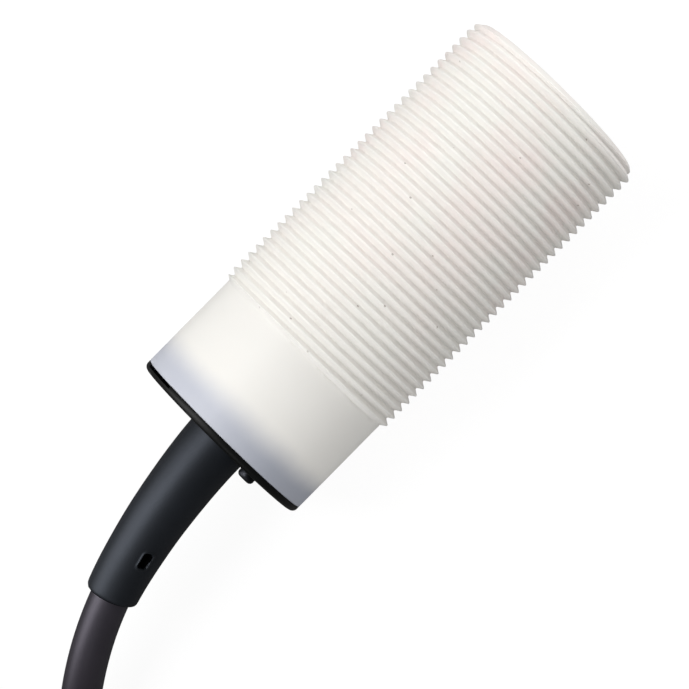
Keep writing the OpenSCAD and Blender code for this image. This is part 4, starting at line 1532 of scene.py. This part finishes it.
@dataclass
class RearCap:
    """Black rear cap: flange, spigot, holes for the relief, the screw and the light guide.

    Attributes:
        flange: Where the flange begins and ends, along X.
        outer_r: Radius of the flange.
        edge_r: Radius of its rear edge.
        spigot: Front end, outer and inner radius of the spigot.
        lead_in: Size of the chamfer on the spigot's front.
        neck_r: Radius of the hole for the relief's neck.
        screw: Height and radius of the hole for the adjusting screw.
        guide: Height, side and radius of the hole for the light guide.
        pry: Width, depth along the barrel and depth below the rim of the pry slot.
        pry_angle: Angle of the pry slot from straight up, towards +Y.
        pry_lit: How far below the rim the pry slot's painted shade begins.
        pry_skin: How far outside the slot's walls a face still counts as one of its faces.
        rounding: Width of the rounding of the cut edges.
        edge_rows: How many rows of points the rear edge has.
        sides: How many sides the cap has.
    """

    flange: tuple[float, float] = (-68.4, -69.55)
    outer_r: float = 15.1
    edge_r: float = 0.8
    spigot: tuple[float, float, float] = (-64.5, 13.55, 12.45)
    lead_in: float = 0.3
    neck_r: float = 4.35
    screw: tuple[float, float] = (8.5, 1.05)
    guide: tuple[float, float, float] = (2.6, -8.0075, 1.25)
    pry: tuple[float, float, float] = (8.0, 0.45, 1.5)
    pry_angle: float = 57.0
    pry_lit: float = 0.15
    pry_skin: float = 0.02
    rounding: float = 0.06
    edge_rows: int = 9
    sides: int = 160

    def profile(self) -> list[tuple[float, float]]:
        """Lay out the cap's section.

        Returns:
            Places along X and radii, from the spigot's inside round to the rear face.
        """
        front, back = self.flange
        end, outer, inner = self.spigot
        edge = [
            (back + self.edge_r * (1 - math.sin(a)), self.outer_r - self.edge_r * (1 - math.cos(a)))
            for a in np.linspace(0, math.pi / 2, self.edge_rows).tolist()
        ]
        return [
            (front, HUB), (front, inner), (end, inner), (end, outer - self.lead_in),
            (end - self.lead_in, outer), (front, outer), (front, self.outer_r), *edge, (back, HUB),
        ]

    def drill(self, radius: float, height: float = 0.0, side: float = 0.0) -> bpy.types.Object:
        """A round cutter along X through the flange.

        Args:
            radius: The hole's radius.
            height: Its height in the board's frame.
            side: Its offset across the board.

        Returns:
            The cutter.
        """
        front, back = self.flange[0] + CLEAR, self.flange[1] - CLEAR
        ends = [(front, HUB), (front, radius), (back, radius), (back, HUB)]
        return turned_piece("cutter", ends, SMALL_SIDES, board_point(0, height, side))

    def pry_axes(self) -> tuple[np.ndarray, np.ndarray]:
        """Directions of the pry slot's depth below the rim and of its width."""
        a = math.radians(self.pry_angle)
        return np.array([0, math.sin(a), math.cos(a)]), np.array([0, math.cos(a), -math.sin(a)])

    def pry_cutter(self) -> bpy.types.Object:
        """Make the cutter of the pry slot.

        Returns:
            The cutter, a box.
        """
        width, along, deep = self.pry
        out, over = self.pry_axes()
        low, high = self.outer_r - deep, self.outer_r + deep
        corners = [
            tuple(np.array([x, 0, 0]) + out * r + over * s * width / 2)
            for x in (self.flange[0] + CLEAR, self.flange[0] - along)
            for r, s in ((low, -1), (high, -1), (high, 1), (low, 1))
        ]
        return box_tool(corners)

    def build(self) -> bpy.types.Object:
        """Make the cap.

        Returns:
            The cap, dressed and riding on the sensor's body.
        """
        made = turned_piece("rear_cap_dressed", self.profile(), self.sides)
        height, side, radius = self.guide
        tools = [
            self.drill(self.neck_r),
            self.drill(self.screw[1], self.screw[0]),
            self.drill(radius, height, side),
            self.pry_cutter(),
        ]
        cut(made, tools, self.rounding)
        dress(made, Finishes.CAP.make(), Finishes.PAINTED_SHADE.make())
        # Painted shade: the pry slot's faces below its lit edge take the near-black colour
        centres = face_centres(made)
        out, over = self.pry_axes()
        width, along, deep = self.pry
        below = self.outer_r - centres @ out
        slot_shade = (below > self.pry_lit) & (below < deep + self.pry_skin)
        slot_shade &= centres[:, 0] > self.flange[0] - along - self.pry_skin
        slot_shade &= np.abs(centres @ over) < width / 2
        paint_faces(made, slot_shade)
        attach(made, "sensor")
        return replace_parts(made, "rear_cap")


@dataclass
class Adjuster:
    """Adjusting screw: pivot, lead screw, collar, neck and slotted head.

    Attributes:
        height: Height of its axis in the board's frame.
        profile: Its section, as depths behind the sensing face and radii.
        slot: Width and depth of the screwdriver slot.
        slot_reach: How far the slot's cutter reaches to either side of the axis.
        rounding: Width of the rounding of the slot's edges.
    """

    height: float = 8.5
    profile: tuple = (
        (49.7, HUB), (49.7, 0.6), (50.3, 0.6), (50.3, 1.0), (64.95, 1.0), (64.95, 1.5),
        (65.45, 1.5), (65.45, 1.0), (69.65, 1.0), (69.65, 1.35), (70.35, 1.35),
        (70.6, 1.24), (70.78, 1.05), (70.85, 0.85), (70.85, HUB),
    )
    slot: tuple[float, float] = (0.5, 0.6)
    slot_reach: float = 3.0
    rounding: float = 0.05

    def build(self) -> bpy.types.Object:
        """Make the screw.

        Returns:
            The screw, dressed and riding on the adjuster's body.
        """
        section = [(-depth, radius) for depth, radius in self.profile]
        axis = board_point(0, self.height, 0)
        made = turned_piece("adjusting_screw_dressed", section, SMALL_SIDES, axis)
        width, deep = self.slot
        back = self.profile[-1][0]
        corners = [
            board_point(depth, self.height + h * self.slot_reach, s * width / 2)
            for depth in (back - deep, back + CLEAR)
            for h, s in ((-1, -1), (1, -1), (1, 1), (-1, 1))
        ]
        cut(made, [box_tool(corners)], self.rounding)
        dress(made, Finishes.SCREW.make())
        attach(made, "adjuster")
        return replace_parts(made, "adjusting_screw")


@dataclass
class CoilTie:
    """Flat coated wire tie round the coil, its ends twisted together inside the coil's hole.

    Attributes:
        angle: Where it goes round the coil, in degrees about the coil's centre.
        width: Its width.
        thickness: Its thickness.
        slack: Its gap to the cable.
        strand_r: Radius of one of the twisted ends.
        twist_r: Radius of the twist at the ends' middles.
        twist_len: Length of the twist.
        twist_pitch: Length of one turn of it.
        twist_low: Height where it begins.
        twist_gap: Its distance from the band, where it begins.
        twist_lean: How far it leans away from the band for each step up.
        round_sides: How many points stand for a turn of the cable that the band goes round.
        twist_rows: How many points a twisted end's line has.
        strand_sides: How many sides a twisted end has.
        close: How far to either side of the tie, in degrees, a crossing is looked for.
        hole_margin: How far inside the inner column a crossing still counts as one of the coil's.
        sharp: Angle in degrees above which an edge of the band stays sharp.
    """

    angle: float = 118.0
    width: float = 3.2
    thickness: float = 0.45
    slack: float = 0.05
    strand_r: float = 0.55
    twist_r: float = 0.62
    twist_len: float = 11.0
    twist_pitch: float = 4.2
    twist_low: float = 1.5
    twist_gap: float = 0.75
    twist_lean: float = 0.12
    round_sides: int = 48
    twist_rows: int = 60
    strand_sides: int = 12
    close: float = 30.0
    hole_margin: float = 2.0
    sharp: float = 30.0

    def crossings(self, cable: Cable) -> np.ndarray:
        """Find where the coil's turns pass the tie.

        Args:
            cable: The cable, whose line is settled.

        Returns:
            A radius and a height for each pass.
        """
        away = cable.line[:, :2] - cable.centre[:2]
        radius = np.linalg.norm(away, axis=1)
        swing = np.degrees(np.arctan2(away[:, 1], away[:, 0])) - self.angle
        swing = (swing + 180) % 360 - 180
        passed = (swing[:-1] * swing[1:] <= 0) & (np.abs(swing[:-1]) < self.close)
        passed &= radius[:-1] > cable.inner_r - self.hole_margin
        return np.stack([radius[:-1], cable.line[:-1, 2]], -1)[passed]

    def loop(self, cable: Cable) -> np.ndarray:
        """Stretch a line round the turns.

        Args:
            cable: The cable, whose line is settled.

        Returns:
            The tie's inner line, as radii and heights.
        """
        turn = np.linspace(0, 2 * math.pi, self.round_sides, endpoint=False)
        reach = cable.diameter / 2 + self.slack
        round_one = reach * np.stack([np.cos(turn), np.sin(turn)], -1)
        cloud = (self.crossings(cable)[:, None] + round_one[None]).reshape(-1, 2)
        cloud = cloud[np.lexsort((cloud[:, 1], cloud[:, 0]))]
        halves = []
        for points in (cloud, cloud[::-1]):
            chain: list[np.ndarray] = []
            for p in points:
                while len(chain) > 1 and np.cross(chain[-1] - chain[-2], p - chain[-2]) <= 1e-9:
                    chain.pop()
                chain.append(p)
            halves += chain[:-1]
        return np.array(halves)

    def build(self, cable: Cable) -> list[bpy.types.Object]:
        """Make the tie.

        Args:
            cable: The cable, whose line is settled.

        Returns:
            The band and its twisted ends.
        """
        a = math.radians(self.angle)
        # Directions outwards from the coil's centre, along its turns and up
        axes = np.array([(math.cos(a), math.sin(a), 0), (-math.sin(a), math.cos(a), 0), (0, 0, 1)])
        loop = self.loop(cable)
        ahead = np.roll(loop, -1, 0) - np.roll(loop, 1, 0)
        normal = np.stack([ahead[:, 1], -ahead[:, 0]], -1)
        normal /= np.linalg.norm(normal, axis=1)[:, None]
        # The first row comes again at the end, where its points merge with the first ones
        rows = []
        for lift, side in ((0, -1), (0, 1), (1, 1), (1, -1)):
            radius, height = (loop + normal * self.thickness * lift).T
            spots = np.stack([radius, 0 * radius + side * self.width / 2, height], -1)
            rows.append(cable.centre + spots[[*range(len(loop)), 0]] @ axes)
        points = np.stack(rows, 1).reshape(-1, 3)
        band = mesh_piece("coil_tie_band", points, ring_faces(len(loop) + 1, 4), self.sharp)
        dress(band, Finishes.TIE.make())
        inner = loop[:, 0].min() - self.thickness - self.twist_gap
        rise = np.linspace(0, self.twist_len, self.twist_rows)
        lines = []
        for side in (0, math.pi):
            twist = rise / self.twist_pitch * 2 * math.pi + side
            radius = inner - self.twist_lean * rise + self.twist_r * np.cos(twist)
            spots = np.stack([radius, self.twist_r * np.sin(twist), self.twist_low + rise], -1)
            lines.append(cable.centre + spots @ axes)
        values = {"Radius": self.strand_r * MM, "Sides": self.strand_sides}
        values["Material"] = Finishes.TIE.make()
        ends = run_tree(lines_piece("coil_tie_ends", lines), sweep_tree(), values)
        for piece in (band, ends):
            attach(piece, "sensor")
        return [band, ends]


@dataclass
class Electronics:
    """Finishes of the pieces inside the housing, which are shown as they were modelled.

    Attributes:
        finishes: Each finish and the nodes that have it.
    """

    finishes: tuple[tuple[Finishes, tuple[str, ...]], ...] = (
        (Finishes.BRASS, ("sensing_electrode", "guard_ring", "shield_sleeve", "wiper_contact")),
        (Finishes.LAMINATE, ("electrode_board", "main_board")),
        (Finishes.TINNED, ("link_pins", "trimmer_pins", "cable_clamp")),
        (Finishes.RESIN, ("potting_compound",)),
        (Finishes.EPOXY, ("oscillator_chip", "comparator_chip", "voltage_regulator")),
        (Finishes.EPOXY, ("output_transistor", "protection_diode")),
        (Finishes.CAN, ("filter_capacitor",)),
        (Finishes.TAN_CERAMIC, ("ceramic_capacitors",)),
        (Finishes.GLAZE, ("chip_resistors",)),
        (Finishes.LAMP, ("status_led",)),
        (Finishes.GUIDE, ("light_guide",)),
        (Finishes.TRIMMER, ("trimmer_case",)),
        (Finishes.ALUMINA, ("resistive_element",)),
        (Finishes.RUBBER, ("adjuster_seal",)),
        (Finishes.ACETAL, ("wiper_carriage",)),
        (Finishes.BROWN, ("inner_core_brown",)),
        (Finishes.BLUE, ("inner_core_blue",)),
        (Finishes.BLACK, ("inner_core_black",)),
    )

    def build(self, nodes: dict[str, bpy.types.Object]) -> None:
        """Give each node its finish.

        Args:
            nodes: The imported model's nodes.
        """
        for finish, names in self.finishes:
            for name in names:
                dress(nodes[name], finish.make())
                log.info("dressed %s", name)


def main() -> None:
    """Build the sub-assemblies in order and report each piece."""
    logging.basicConfig(level=logging.INFO, format="%(message)s")
    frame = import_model()
    Studio().build()
    cable = Cable()
    jacket = cable.build()
    log.info("cable: %.0f mm of jacket", length_of(cable.line))
    ends = TailEnd().build()
    relief = StrainRelief().build(cable)
    tie = CoilTie().build(cable)
    cable.declare()
    for piece in [relief, *ends, *tie]:
        log.info("made %s", piece.name)
    for builder in (Barrel(), RearCap(), Adjuster()):
        made = builder.build()
        log.info("made %s, %d faces", made.name, len(made.data.polygons))
    Electronics().build(frame["nodes"])


if __name__ == "__main__":
    main()
